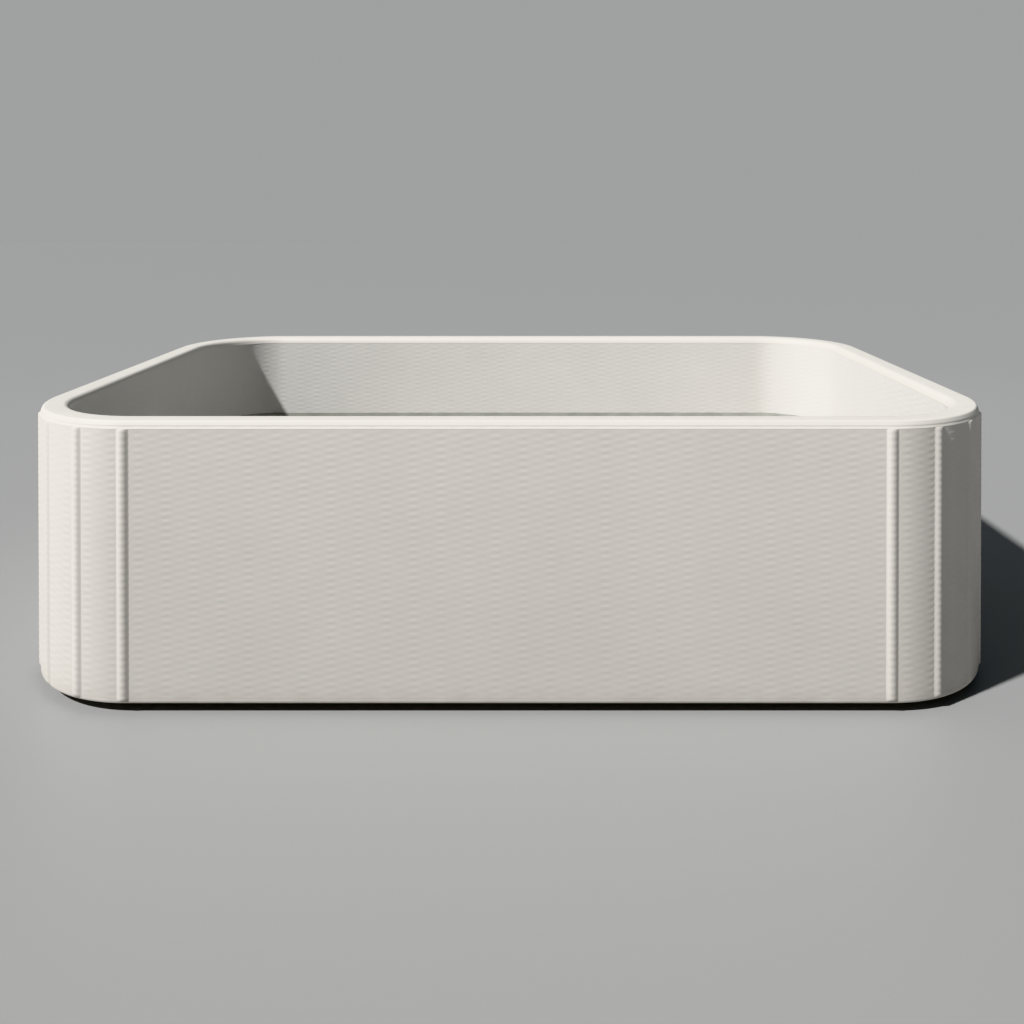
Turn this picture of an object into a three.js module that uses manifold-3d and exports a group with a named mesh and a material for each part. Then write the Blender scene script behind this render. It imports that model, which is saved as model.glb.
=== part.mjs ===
// An open inflatable float tub: drop-stitch air walls round an air floor, an inflation valve and a drain.
// Millimetres, +Z up, +X along the tub. The origin is the middle of the ground pad's underside.
import * as THREE from "three";
import { mergeVertices } from "three/addons/utils/BufferGeometryUtils.js";
import Module from "manifold-3d";

// Driving dimensions: the tub
const LENGTH = 2300; // outside of the wall skins, along X
const WIDTH = 1480; // outside of the wall skins, along Y
const HEIGHT = 632; // foot of the wall to the top of the rim
const CORNER_RADIUS = 295; // outside of the wall, seen from above
const WALL = 66; // outside of the outer skin to the inside of the inner skin
const SKIN = 1.5; // coated fabric
const FIT_GAP = 0.3; // between pieces that touch
const CUT_PAST = 2; // how far a cut runs past the face that it opens
const CORNER_STEPS = 12; // flats that make one rounded corner

// Driving dimensions: rim, foot and ground pad
const RIM_HEIGHT = 18;
const RIM_LIP = 1.2; // how far the rim stands proud of each wall face
const RIM_PLATE = 10; // thickness over the wall
const RIM_OUTER_SHOULDER = 12; // radius of its outer edge
const RIM_INNER_SHOULDER = 15; // radius of its inner edge
const FOOT_RADIUS = 8; // rounding under the wall
const FOOT_LEG = 6; // straight leg of the bottom band above its rounding
const FOOT_PLATE = 2.5;
const ROUND_STEPS = 4; // flats that make one rounded edge
const HIDDEN_ROUND_STEPS = 1; // the same inside the bottom band
const PAD_THICKNESS = 20;
const PAD_INSET = 45; // from the outside of the wall

// Driving dimensions: corner strips and fill line
const STRIPS_PER_CORNER = 5;
const STRIP_WIDTH = 28;
const STRIP_HEIGHT = 6; // how far a strip stands off the wall
const STRIP_EDGE = 0.8; // thickness left at its long edges
const STRIP_STEPS = 8; // flats that make its rounded top
const FILL_DEPTH = 272; // rim top down to the upper edge of the fill line
const FILL_TAPE_WIDTH = 16;
const FILL_TAPE = 1; // thickness

// Driving dimensions: drop threads and floor panel
const THREAD_PITCH = 61; // between rows of drop threads
const THREAD_ROW = 1; // thickness of one row
const THREAD_CLOTH = 1; // cloth that the rows are woven into
const FLOOR = 100; // ground pad to the top of the floor

// Driving dimensions: inflation valve on the back wall
const ROUND_SIDES = 24; // flats round a turned piece
const SMALL_SIDES = 12; // flats round a small hole
const STEM_SIDES = 16; // flats round the ball's stem
const HEXAGON = 6; // sides of a nut
const VALVE_FROM_CORNER = 150; // start of the rounded corner to the valve's axis
const VALVE_HEIGHT = 300; // foot of the wall to the valve's axis
const VALVE_BORE = 26; // diameters from here on
const VALVE_BARREL = 38;
const VALVE_FLANGE = 62;
const VALVE_FLANGE_THICKNESS = 4;
const VALVE_DEPTH = 45; // outer skin to the barrel's inner end
const VALVE_NUT = 54;
const VALVE_NUT_THICKNESS = 8;
const VALVE_ROOM = 8; // free of drop threads round the back nut
const GASKET = 2; // thickness of each gasket
const STEM = 6;
const STEM_HEAD = 13;
const STEM_HEAD_THICKNESS = 4;
const STEM_HEAD_DEPTH = 3; // mouth of the valve to the top of the head
const POPPET = 32;
const POPPET_THICKNESS = 3;
const POPPET_TRAVEL = 6; // how far the button is pressed
const GUIDE_DEPTH = 28; // mouth of the valve to the stem guide
const GUIDE_THICKNESS = 4;
const GUIDE_HOLES = 5;
const GUIDE_HOLE = 5;
const SPRING_WIRE = 1;
const SPRING_COIL = 10; // middle of the wire
const SPRING_TURNS = 6;
const SPRING_STEPS = 10; // along one turn
const WIRE_SIDES = 5;
const RUNNING_GAP = 0.3; // round a piece that slides or turns
const VALVE_CAP = 54;
const VALVE_CAP_THICKNESS = 4;
const VALVE_CAP_PLUG = 6; // depth of its plug
const CAP_WALL = 2.5;
const CAP_GRIP_LENGTH = 40;
const CAP_GRIP_WIDTH = 7;
const CAP_GRIP_HEIGHT = 7;

// Driving dimensions: drain through the back wall
const DRAIN_FROM_CORNER = 150; // start of the rounded corner to the drain's axis
const DRAIN_RISE = 48; // top of the floor to the drain's axis
const DRAIN_BORE = 26;
const DRAIN_TUBE = 34;
const DRAIN_FLANGE = 76;
const DRAIN_FLANGE_THICKNESS = 4;
const SLEEVE_WALL = 4;
const DRAIN_NUT = 60; // across the corners of the hexagon
const DRAIN_NUT_THICKNESS = 12;
const SOCKET_DEPTH = 14; // how far the tube enters the ball valve
const STRAINER_THICKNESS = 3;
const STRAINER_INSET = 1.5; // flange's edge to the strainer's edge
const STRAINER_SLOT = 3; // width
const STRAINER_BAR = 1.3; // between two slots
const STRAINER_SKIRT = 8; // depth of the ring that snaps into the bore
const SKIRT_WALL = 2;
const BALL = 38;
const BALL_SHELL = 7; // valve body round the ball
const BALL_STEM = 9;
const STEM_BOSS = 18;
const STEM_BOSS_RISE = 10; // above the valve body
const SPIGOT_LENGTH = 22;
const LEVER_LENGTH = 95; // stem to the lever's end
const LEVER_WIDTH = 20;
const LEVER_THICKNESS = 5;
const LEVER_END_STEPS = 10; // flats round one end of the lever
const LEVER_NUT = 15; // across the corners
const LEVER_NUT_THICKNESS = 6;
const OUTLET_CAP_WALL = 4;
const OUTLET_CAP_DEPTH = 16; // how far the cap reaches over the spigot

const MERGE_WITHIN = 1e-4; // corners nearer than this are one corner

const wasm = await Module();
wasm.setup();

// Derived places
const footZ = PAD_THICKNESS + FIT_GAP;
const rimZ = PAD_THICKNESS + HEIGHT;
const centreX = LENGTH / 2 - CORNER_RADIUS;
const centreY = WIDTH / 2 - CORNER_RADIUS;
const backY = WIDTH / 2;
const cornerStep = Math.PI / 2 / CORNER_STEPS;
const flatness = Math.cos(cornerStep / 2); // a flat's middle lies this much nearer the corner's centre
const outerFace = CORNER_RADIUS;
const innerFace = CORNER_RADIUS - WALL;
const bandTop = footZ + FOOT_RADIUS + FOOT_LEG;
const skinBottom = bandTop + FIT_GAP;
const skinTop = rimZ - RIM_PLATE - FIT_GAP;
const floorTop = PAD_THICKNESS + FLOOR;

// Materials: each piece gets its own copy
const finish = (color, roughness, metalness = 0) => ({ color, roughness, metalness });
const BONE = finish(0xe9e5dc, 0.55);
const RIM_WHITE = finish(0xf2eee6, 0.45);
const THREAD = finish(0xd9d6cf, 0.9);
const FOAM = finish(0x2f3132, 0.9);
const TAPE = finish(0x8d8f88, 0.6);
const RUBBER = finish(0x1d1e1f, 0.85);
const MOULDED = finish(0x3b3f42, 0.5);
const STEEL = finish(0xb9bcbf, 0.3, 0.9);
const LEVER_RED = finish(0xa8322a, 0.45);

const tub = new THREE.Group();
tub.name = "float_tub";

function add(name, geometry, look, parent = tub) {
  const mesh = new THREE.Mesh(geometry, new THREE.MeshStandardMaterial(look));
  mesh.name = name;
  parent.add(mesh);
  return mesh;
}

// Solids for joining and cutting
function solid(geometry) {
  const bare = new THREE.BufferGeometry();
  bare.setAttribute("position", geometry.getAttribute("position").clone());
  if (geometry.index) bare.setIndex(geometry.index.clone());
  const merged = mergeVertices(bare, MERGE_WITHIN);
  return new wasm.Manifold(
    new wasm.Mesh({
      numProp: 3,
      vertProperties: merged.getAttribute("position").array,
      triVerts: new Uint32Array(merged.index.array),
    }),
  );
}

function geometryOf(made) {
  const mesh = made.getMesh();
  const geometry = new THREE.BufferGeometry();
  geometry.setAttribute("position", new THREE.BufferAttribute(mesh.vertProperties, 3));
  geometry.setIndex(new THREE.BufferAttribute(mesh.triVerts, 1));
  return geometry;
}

const joined = (first, ...others) =>
  geometryOf(others.reduce((sum, other) => sum.add(solid(other)), solid(first)));
const cut = (first, ...others) =>
  geometryOf(others.reduce((rest, other) => rest.subtract(solid(other)), solid(first)));

// The tub's corners, and its rounded rectangle seen from above: directions out of each corner's centre
const CORNERS = [
  ["back_right", 1, 1],
  ["back_left", -1, 1],
  ["front_left", -1, -1],
  ["front_right", 1, -1],
];
const stations = CORNERS.flatMap(([, sideX, sideY], quarter) =>
  Array.from({ length: CORNER_STEPS + 1 }, (_, step) => {
    const angle = (quarter * Math.PI) / 2 + step * cornerStep;
    return { x: sideX * centreX, y: sideY * centreY, angle };
  }),
);
const onLoop = ({ x, y, angle }, radius) => [x + radius * Math.cos(angle), y + radius * Math.sin(angle)];

// A flat plate with rounded corners of the given radius
function plate(radius, bottom, top) {
  const outline = new THREE.Shape(stations.map((station) => new THREE.Vector2(...onLoop(station, radius))));
  const geometry = new THREE.ExtrudeGeometry(outline, { depth: top - bottom, bevelEnabled: false });
  return geometry.translate(0, 0, bottom);
}

// A closed profile of [radius, z] points, anticlockwise, carried round the tub
function loopSweep(profile) {
  const positions = stations.flatMap((station) =>
    profile.flatMap(([radius, z]) => [...onLoop(station, radius), z]),
  );
  const index = [];
  const count = profile.length;
  stations.forEach((_, i) => {
    const here = i * count;
    const next = ((i + 1) % stations.length) * count;
    for (let j = 0; j < count; j++) {
      const k = (j + 1) % count;
      index.push(here + j, next + j, next + k, here + j, next + k, here + k);
    }
  });
  const geometry = new THREE.BufferGeometry();
  geometry.setAttribute("position", new THREE.Float32BufferAttribute(positions, 3));
  geometry.setIndex(index);
  return geometry;
}

const band = (inner, outer, bottom, top) => [
  [inner, bottom],
  [outer, bottom],
  [outer, top],
  [inner, top],
];

// Points of a quarter round about a centre, from one angle to another in degrees
function quarterRound(x, y, radius, from, to, steps = ROUND_STEPS) {
  return Array.from({ length: steps + 1 }, (_, i) => {
    const angle = THREE.MathUtils.degToRad(from + ((to - from) * i) / steps);
    return [x + radius * Math.cos(angle), y + radius * Math.sin(angle)];
  });
}

// Turned pieces: profiles of [radius, along] points, about +Y, which is straight out of the back wall
function turned(profile, sides = ROUND_SIDES) {
  const points = profile.map(([radius, along]) => new THREE.Vector2(radius, along));
  return new THREE.LatheGeometry(points, sides);
}

const rod = (diameter, from, to, sides) =>
  turned([[0, from], [diameter / 2, from], [diameter / 2, to], [0, to]], sides);

function tube(inside, outside, from, to, sides) {
  const a = inside / 2;
  const b = outside / 2;
  return turned([[a, from], [b, from], [b, to], [a, to], [a, from]], sides);
}

// Inflation valve and drain, each about its own axis through the back wall
const valve = new THREE.Group();
valve.position.set(-(centreX - VALVE_FROM_CORNER), backY, PAD_THICKNESS + VALVE_HEIGHT);
tub.add(valve);

const drain = new THREE.Group();
drain.position.set(centreX - DRAIN_FROM_CORNER, backY, floorTop + DRAIN_RISE);
tub.add(drain);

const inPlace = (geometry, group) => geometry.translate(...group.position.toArray());
const valveHole = () => inPlace(rod(VALVE_BARREL + 2 * FIT_GAP, -WALL / 2, CUT_PAST), valve);
const valveRoomDepth = VALVE_DEPTH + POPPET_THICKNESS + 2 * POPPET_TRAVEL;
const valveRoom = () => inPlace(rod(VALVE_NUT + 2 * VALVE_ROOM, -valveRoomDepth, CUT_PAST), valve);
const sleeveInside = DRAIN_TUBE + 2 * FIT_GAP;
const sleeveOutside = sleeveInside + 2 * SLEEVE_WALL;
const drainHole = () => inPlace(rod(sleeveInside, -WALL - CUT_PAST, CUT_PAST), drain);
const drainRoom = () => inPlace(rod(sleeveOutside + 2 * FIT_GAP, -WALL - CUT_PAST, CUT_PAST), drain);

// Wall skins
const outerSkin = loopSweep(band(outerFace - SKIN, outerFace, skinBottom, skinTop));
add("outer_skin", cut(outerSkin, valveHole(), drainHole()), BONE);
const innerSkin = loopSweep(band(innerFace, innerFace + SKIN, skinBottom, skinTop));
add("inner_skin", cut(innerSkin, drainHole()), BONE);

// Rim cap: a channel over the top of the wall, with rounded shoulders and a lip on each side
const rimOuter = outerFace + RIM_LIP;
const rimInner = innerFace - RIM_LIP;
const rimBottom = rimZ - RIM_HEIGHT;
const shoulder = (middle, radius, from, to) => quarterRound(middle, rimZ - radius, radius, from, to);
add(
  "rim_cap",
  loopSweep([
    [outerFace + FIT_GAP, rimBottom],
    [rimOuter, rimBottom],
    ...shoulder(rimOuter - RIM_OUTER_SHOULDER, RIM_OUTER_SHOULDER, 0, 90),
    ...shoulder(rimInner + RIM_INNER_SHOULDER, RIM_INNER_SHOULDER, 90, 180),
    [rimInner, rimBottom],
    [innerFace - FIT_GAP, rimBottom],
    [innerFace - FIT_GAP, rimZ - RIM_PLATE],
    [outerFace + FIT_GAP, rimZ - RIM_PLATE],
  ]),
  RIM_WHITE,
);

// Bottom band: a channel that closes the foot of the wall
const roundZ = footZ + FOOT_RADIUS;
const insideRadius = FOOT_RADIUS - FOOT_PLATE;
add(
  "bottom_band",
  loopSweep([
    ...quarterRound(innerFace + FOOT_RADIUS, roundZ, FOOT_RADIUS, 180, 270),
    ...quarterRound(outerFace - FOOT_RADIUS, roundZ, FOOT_RADIUS, 270, 360),
    [outerFace, bandTop],
    [outerFace - FOOT_PLATE, bandTop],
    ...quarterRound(outerFace - FOOT_RADIUS, roundZ, insideRadius, 360, 270, HIDDEN_ROUND_STEPS),
    ...quarterRound(innerFace + FOOT_RADIUS, roundZ, insideRadius, 270, 180, HIDDEN_ROUND_STEPS),
    [innerFace + FOOT_PLATE, bandTop],
    [innerFace, bandTop],
  ]),
  BONE,
);

// Thread webs: rows of drop threads woven into a cloth, seen from above as a comb
const webInner = innerFace + SKIN + FIT_GAP;
const webOuter = outerFace - SKIN - FIT_GAP;
const webBottom = skinBottom;
const webTop = skinTop - FIT_GAP;
const rowsOver = (run) => Math.max(2, Math.round(run / THREAD_PITCH) + 1);

function webOf(points) {
  const shape = new THREE.Shape(points.map(([x, y]) => new THREE.Vector2(x, y)));
  const geometry = new THREE.ExtrudeGeometry(shape, { depth: webTop - webBottom, bevelEnabled: false });
  return geometry.translate(0, 0, webBottom);
}

// A straight comb along X whose cloth lies on the inner skin; depth is measured from the corners' centres
function straightWeb(run) {
  const rows = rowsOver(run);
  const points = [
    [-run / 2, webInner],
    [run / 2, webInner],
  ];
  for (let row = rows - 1; row >= 0; row--) {
    const left = -run / 2 + (row * (run - THREAD_ROW)) / (rows - 1);
    const root = webInner + THREAD_CLOTH;
    if (row < rows - 1) points.push([left + THREAD_ROW, root]);
    points.push([left + THREAD_ROW, webOuter], [left, webOuter]);
    if (row > 0) points.push([left, root]);
  }
  return webOf(points);
}

// A comb round half of a corner, from one angle to another: the cloth is an arc, and the rows are straight
function cornerWeb(from, to) {
  const cloth = webInner / flatness;
  const reach = (outerFace - SKIN) * flatness - FIT_GAP;
  const half = THREAD_ROW / 2;
  const clear = (half + FIT_GAP / 2) / cloth;
  const first = from + clear;
  const sweep = to - from - 2 * clear;
  const rows = rowsOver(sweep * (innerFace + WALL / 2));
  const spacing = sweep / (rows - 1);
  const steps = Math.ceil(spacing / cornerStep);
  const at = (radius, angle, aside = 0) => [
    radius * Math.cos(angle) - aside * Math.sin(angle),
    radius * Math.sin(angle) + aside * Math.cos(angle),
  ];
  const inside = [];
  const outside = [];
  for (let row = 0; row < rows; row++) {
    const angle = first + row * spacing;
    inside.push(at(cloth, angle, row === 0 ? -half : row === rows - 1 ? half : 0));
    if (row > 0) outside.push(at(cloth + THREAD_CLOTH, angle, -half));
    outside.push(at(reach, angle, -half), at(reach, angle, half));
    if (row === rows - 1) break;
    outside.push(at(cloth + THREAD_CLOTH, angle, half));
    for (let step = 1; step < steps; step++) {
      const between = angle + (spacing * step) / steps;
      inside.push(at(cloth, between));
      outside.push(at(cloth + THREAD_CLOTH, between));
    }
  }
  return webOf([...outside, ...inside.reverse()]);
}

const longRun = 2 * centreX - FIT_GAP;
const shortRun = 2 * centreY - FIT_GAP;
const frontWeb = add("thread_web_front", straightWeb(longRun), THREAD);
frontWeb.rotation.z = Math.PI;
frontWeb.position.y = -centreY;
const backWeb = inPlace(straightWeb(longRun), { position: new THREE.Vector3(0, centreY, 0) });
add("thread_web_back", cut(backWeb, valveRoom(), drainRoom()), THREAD);
for (const [name, side] of [["thread_web_left", -1], ["thread_web_right", 1]]) {
  const web = add(name, straightWeb(shortRun), THREAD);
  web.rotation.z = (-side * Math.PI) / 2;
  web.position.x = side * centreX;
}

CORNERS.forEach(([name, sideX, sideY], quarter) => {
  const corner = new THREE.Group();
  corner.position.set(sideX * centreX, sideY * centreY, 0);
  corner.rotation.z = (quarter * Math.PI) / 2;
  tub.add(corner);
  add(`thread_web_${name}_1`, cornerWeb(0, Math.PI / 4), THREAD, corner);
  add(`thread_web_${name}_2`, cornerWeb(Math.PI / 4, Math.PI / 2), THREAD, corner);

  // Corner strips: low rounded welts over the skin's upright seams
  for (let i = 0; i < STRIPS_PER_CORNER; i++) {
    const seam = new THREE.Group();
    seam.rotation.z = (i * Math.PI) / 2 / (STRIPS_PER_CORNER - 1);
    corner.add(seam);
    add(`corner_strip_${name}_${i + 1}`, cornerStrip(), BONE, seam);
  }
});

function cornerStrip() {
  const bottom = footZ + FOOT_RADIUS;
  const top = rimBottom - FIT_GAP;
  const rise = STRIP_HEIGHT - STRIP_EDGE;
  const topLine = Array.from({ length: STRIP_STEPS + 1 }, (_, i) => {
    const share = i / STRIP_STEPS - 1 / 2;
    const swell = (1 + Math.cos(2 * Math.PI * share)) / 2;
    return new THREE.Vector2(STRIP_EDGE + rise * swell, STRIP_WIDTH * share);
  });
  const points = [
    new THREE.Vector2(0, -STRIP_WIDTH / 2),
    ...topLine,
    new THREE.Vector2(0, STRIP_WIDTH / 2),
  ];
  const geometry = new THREE.ExtrudeGeometry(new THREE.Shape(points), {
    depth: top - bottom,
    bevelEnabled: false,
  });
  return geometry.translate(outerFace + FIT_GAP, 0, bottom);
}

// Fill-level tape on the inner skin
const tapeTop = rimZ - FILL_DEPTH;
const tapeOuter = innerFace - FIT_GAP;
add(
  "fill_level_tape",
  loopSweep(band(tapeOuter - FILL_TAPE, tapeOuter, tapeTop - FILL_TAPE_WIDTH, tapeTop)),
  TAPE,
);

// Floor panel: a tray-shaped top skin over rows of drop threads and a flat bottom skin
const floorEdge = innerFace - FIT_GAP;
const floorBottom = PAD_THICKNESS + FIT_GAP;
const trayBottom = floorBottom + SKIN + FIT_GAP;
add("floor_bottom_skin", plate(floorEdge, floorBottom, floorBottom + SKIN), BONE);
const trayRoom = plate(floorEdge - SKIN, trayBottom - SKIN, floorTop - SKIN);
add("floor_top_skin", cut(plate(floorEdge, trayBottom, floorTop), trayRoom), BONE);
add("floor_thread_web", floorWeb(), THREAD);

function floorWeb() {
  const edge = floorEdge - SKIN - FIT_GAP;
  const bottom = trayBottom;
  const top = floorTop - SKIN - FIT_GAP;
  const round = edge * flatness;
  const run = 2 * (centreY + round - FIT_GAP) - THREAD_ROW;
  const rows = rowsOver(run);
  const fins = Array.from({ length: rows }, (_, row) => {
    const y = -run / 2 + (row * run) / (rows - 1);
    const past = Math.max(0, Math.abs(y) + THREAD_ROW / 2 - centreY);
    const reach = centreX + Math.sqrt(round * round - past * past);
    return new THREE.BoxGeometry(2 * reach, THREAD_ROW, top - bottom).translate(0, y, (top + bottom) / 2);
  });
  return joined(plate(edge, bottom, bottom + THREAD_CLOTH), ...fins);
}

// Ground pad
add("ground_pad", plate(outerFace - PAD_INSET, 0, PAD_THICKNESS), FOAM);

// Inflation valve: distances along its axis, outwards from the outer skin
const gasketTop = FIT_GAP + GASKET;
const valveMouth = gasketTop + FIT_GAP + VALVE_FLANGE_THICKNESS;
const barrelEnd = -VALVE_DEPTH;
const guideTop = valveMouth - GUIDE_DEPTH;
const guideBottom = guideTop - GUIDE_THICKNESS;
const stemHole = STEM + 2 * RUNNING_GAP;

function valveBody() {
  const bore = VALVE_BORE / 2;
  const outside = VALVE_BARREL / 2;
  const flange = VALVE_FLANGE / 2;
  const body = turned([
    [stemHole / 2, guideBottom],
    [bore, guideBottom],
    [bore, barrelEnd],
    [outside, barrelEnd],
    [outside, gasketTop + FIT_GAP],
    [flange, gasketTop + FIT_GAP],
    [flange, valveMouth],
    [bore, valveMouth],
    [bore, guideTop],
    [stemHole / 2, guideTop],
    [stemHole / 2, guideBottom],
  ]);
  const ring = (stemHole + VALVE_BORE) / 4;
  const holes = Array.from({ length: GUIDE_HOLES }, (_, i) => {
    const angle = (i * 2 * Math.PI) / GUIDE_HOLES;
    const hole = rod(GUIDE_HOLE, guideBottom - CUT_PAST, guideTop + CUT_PAST, SMALL_SIDES);
    return hole.translate(ring * Math.cos(angle), 0, ring * Math.sin(angle));
  });
  return cut(body, ...holes);
}
add("valve_body", valveBody(), MOULDED, valve);
add("valve_gasket", tube(VALVE_BARREL + 2 * FIT_GAP, VALVE_FLANGE, FIT_GAP, gasketTop), RUBBER, valve);
const nutTop = -SKIN - FIT_GAP;
add(
  "valve_back_nut",
  tube(VALVE_BARREL + 2 * FIT_GAP, VALVE_NUT, nutTop - VALVE_NUT_THICKNESS, nutTop),
  MOULDED,
  valve,
);

// The poppet closes the barrel's inner end, and its head is the button that lets air out
const headTop = valveMouth - STEM_HEAD_DEPTH;
const headBottom = headTop - STEM_HEAD_THICKNESS;
const poppetTop = barrelEnd - FIT_GAP;
add(
  "valve_poppet",
  turned([
    [0, poppetTop - POPPET_THICKNESS],
    [POPPET / 2, poppetTop - POPPET_THICKNESS],
    [POPPET / 2, poppetTop],
    [STEM / 2, poppetTop],
    [STEM / 2, headBottom],
    [STEM_HEAD / 2, headBottom],
    [STEM_HEAD / 2, headTop],
    [0, headTop],
  ]),
  MOULDED,
  valve,
);

// Spring round the stem, between the guide and the head
class Helix extends THREE.Curve {
  constructor(radius, from, to, turns) {
    super();
    Object.assign(this, { radius, from, to, turns });
  }

  getPoint(t, target = new THREE.Vector3()) {
    const angle = t * this.turns * 2 * Math.PI;
    const along = this.from + (this.to - this.from) * t;
    return target.set(this.radius * Math.cos(angle), along, this.radius * Math.sin(angle));
  }
}

function circle(diameter, sides) {
  const points = Array.from({ length: sides }, (_, i) => {
    const angle = (i * 2 * Math.PI) / sides;
    return new THREE.Vector2((diameter / 2) * Math.cos(angle), (diameter / 2) * Math.sin(angle));
  });
  return new THREE.Shape(points);
}

const springSeat = SPRING_WIRE / 2 + FIT_GAP;
const helix = new Helix(SPRING_COIL / 2, guideTop + springSeat, headBottom - springSeat, SPRING_TURNS);
const springSteps = SPRING_TURNS * SPRING_STEPS;
add(
  "valve_spring",
  new THREE.ExtrudeGeometry(circle(SPRING_WIRE, WIRE_SIDES), { steps: springSteps, extrudePath: helix }),
  STEEL,
  valve,
);

// Least gap between one turn of the spring and the next, on points along its wire
const wirePoints = helix.getPoints(springSteps);
const turnGaps = wirePoints.flatMap((point, i) =>
  wirePoints.slice(i + SPRING_STEPS / 2).map((other) => point.distanceTo(other)),
);
console.log(`valve_spring least gap ${(Math.min(...turnGaps) - SPRING_WIRE).toFixed(2)} mm`);

// Valve cap with a plug in the valve's mouth and a grip bar
function valveCap() {
  const bottom = valveMouth + FIT_GAP;
  const top = bottom + VALVE_CAP_THICKNESS;
  const plug = VALVE_BORE / 2 - RUNNING_GAP;
  const cap = turned([
    [0, bottom],
    [plug - CAP_WALL, bottom],
    [plug - CAP_WALL, valveMouth - VALVE_CAP_PLUG],
    [plug, valveMouth - VALVE_CAP_PLUG],
    [plug, bottom],
    [VALVE_CAP / 2, bottom],
    [VALVE_CAP / 2, top],
    [0, top],
  ]);
  const gripRise = VALVE_CAP_THICKNESS + CAP_GRIP_HEIGHT;
  const grip = new THREE.BoxGeometry(CAP_GRIP_LENGTH, gripRise, CAP_GRIP_WIDTH);
  grip.translate(0, bottom + gripRise / 2, 0);
  return joined(cap, grip);
}
add("valve_cap", valveCap(), MOULDED, valve);

// Drain: distances along its axis, outwards from the outer skin
const wallInside = -WALL;
const drainGasketIn = wallInside - FIT_GAP - GASKET;
const flangeOut = drainGasketIn - FIT_GAP;
const flangeIn = flangeOut - DRAIN_FLANGE_THICKNESS;
const nutIn = 2 * FIT_GAP + GASKET;
const nutOut = nutIn + DRAIN_NUT_THICKNESS;
const bodyIn = nutOut + FIT_GAP;
const tubeEnd = bodyIn + SOCKET_DEPTH;
const cavity = BALL / 2 + RUNNING_GAP;
const ballAt = tubeEnd + FIT_GAP + BALL_SHELL / 2 + cavity;
const bodyOut = ballAt + cavity + BALL_SHELL;
const spigotEnd = bodyOut + SPIGOT_LENGTH;

add(
  "drain_tube",
  turned([
    [DRAIN_BORE / 2, flangeIn],
    [DRAIN_FLANGE / 2, flangeIn],
    [DRAIN_FLANGE / 2, flangeOut],
    [DRAIN_TUBE / 2, flangeOut],
    [DRAIN_TUBE / 2, tubeEnd],
    [DRAIN_BORE / 2, tubeEnd],
    [DRAIN_BORE / 2, flangeIn],
  ]),
  MOULDED,
  drain,
);
add("drain_gasket", tube(sleeveInside, DRAIN_FLANGE, drainGasketIn, wallInside - FIT_GAP), RUBBER, drain);
const sleeveReach = SKIN + FIT_GAP;
add("drain_sleeve", tube(sleeveInside, sleeveOutside, wallInside + sleeveReach, -sleeveReach), BONE, drain);
add("drain_washer", tube(sleeveInside, DRAIN_FLANGE, FIT_GAP, FIT_GAP + GASKET), RUBBER, drain);
const drainNut = rod(DRAIN_NUT, nutIn, nutOut, HEXAGON);
const drainNutHole = rod(sleeveInside, nutIn - CUT_PAST, nutOut + CUT_PAST);
add("drain_nut", cut(drainNut, drainNutHole), MOULDED, drain);

// Strainer: a slotted disc whose ring snaps into the tube's bore
function strainer() {
  const out = flangeIn - FIT_GAP;
  const disc = DRAIN_FLANGE / 2 - STRAINER_INSET;
  const skirt = DRAIN_BORE / 2 - FIT_GAP;
  const body = turned([
    [0, out - STRAINER_THICKNESS],
    [disc, out - STRAINER_THICKNESS],
    [disc, out],
    [skirt, out],
    [skirt, out + STRAINER_SKIRT],
    [skirt - SKIRT_WALL, out + STRAINER_SKIRT],
    [skirt - SKIRT_WALL, out],
    [0, out],
  ]);
  const reach = skirt - SKIRT_WALL;
  const pitch = STRAINER_SLOT + STRAINER_BAR;
  const across = 2 * Math.sqrt(reach ** 2 - (STRAINER_SLOT / 2) ** 2);
  const count = Math.floor((across + STRAINER_BAR) / pitch);
  const slots = Array.from({ length: count }, (_, i) => {
    const x = (i - (count - 1) / 2) * pitch;
    const far = Math.abs(x) + STRAINER_SLOT / 2;
    const length = 2 * Math.sqrt(reach ** 2 - far ** 2);
    const slot = new THREE.BoxGeometry(STRAINER_SLOT, STRAINER_THICKNESS + 2 * CUT_PAST, length);
    return slot.translate(x, out - STRAINER_THICKNESS / 2, 0);
  });
  return cut(body, ...slots);
}
add("drain_strainer", strainer(), MOULDED, drain);

// Ball valve body: a socket for the tube, a round chamber for the ball, and the outlet spigot
const bodyRadius = cavity + BALL_SHELL;
const bossTop = bodyRadius + STEM_BOSS_RISE;
const upright = (geometry) => geometry.rotateX(Math.PI / 2).translate(0, ballAt, 0);

function ballValveBody() {
  const bore = DRAIN_BORE / 2;
  const spigot = DRAIN_TUBE / 2;
  const mouth = Math.asin(bore / cavity);
  const chamber = Array.from({ length: 2 * ROUND_STEPS + 1 }, (_, i) => {
    const angle = mouth + ((Math.PI - 2 * mouth) * i) / (2 * ROUND_STEPS);
    return [cavity * Math.sin(angle), ballAt + cavity * Math.cos(angle)];
  });
  const body = turned([
    [sleeveInside / 2, bodyIn],
    [bodyRadius, bodyIn],
    [bodyRadius, bodyOut],
    [spigot, bodyOut],
    [spigot, spigotEnd],
    [bore, spigotEnd],
    ...chamber,
    [bore, tubeEnd + FIT_GAP],
    [sleeveInside / 2, tubeEnd + FIT_GAP],
    [sleeveInside / 2, bodyIn],
  ]);
  const boss = upright(rod(STEM_BOSS, cavity + BALL_SHELL / 2, bossTop));
  const stemBore = upright(rod(BALL_STEM + 2 * RUNNING_GAP, cavity / 2, bossTop + CUT_PAST));
  return cut(joined(body, boss), stemBore);
}
add("drain_valve_body", ballValveBody(), MOULDED, drain);

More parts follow.
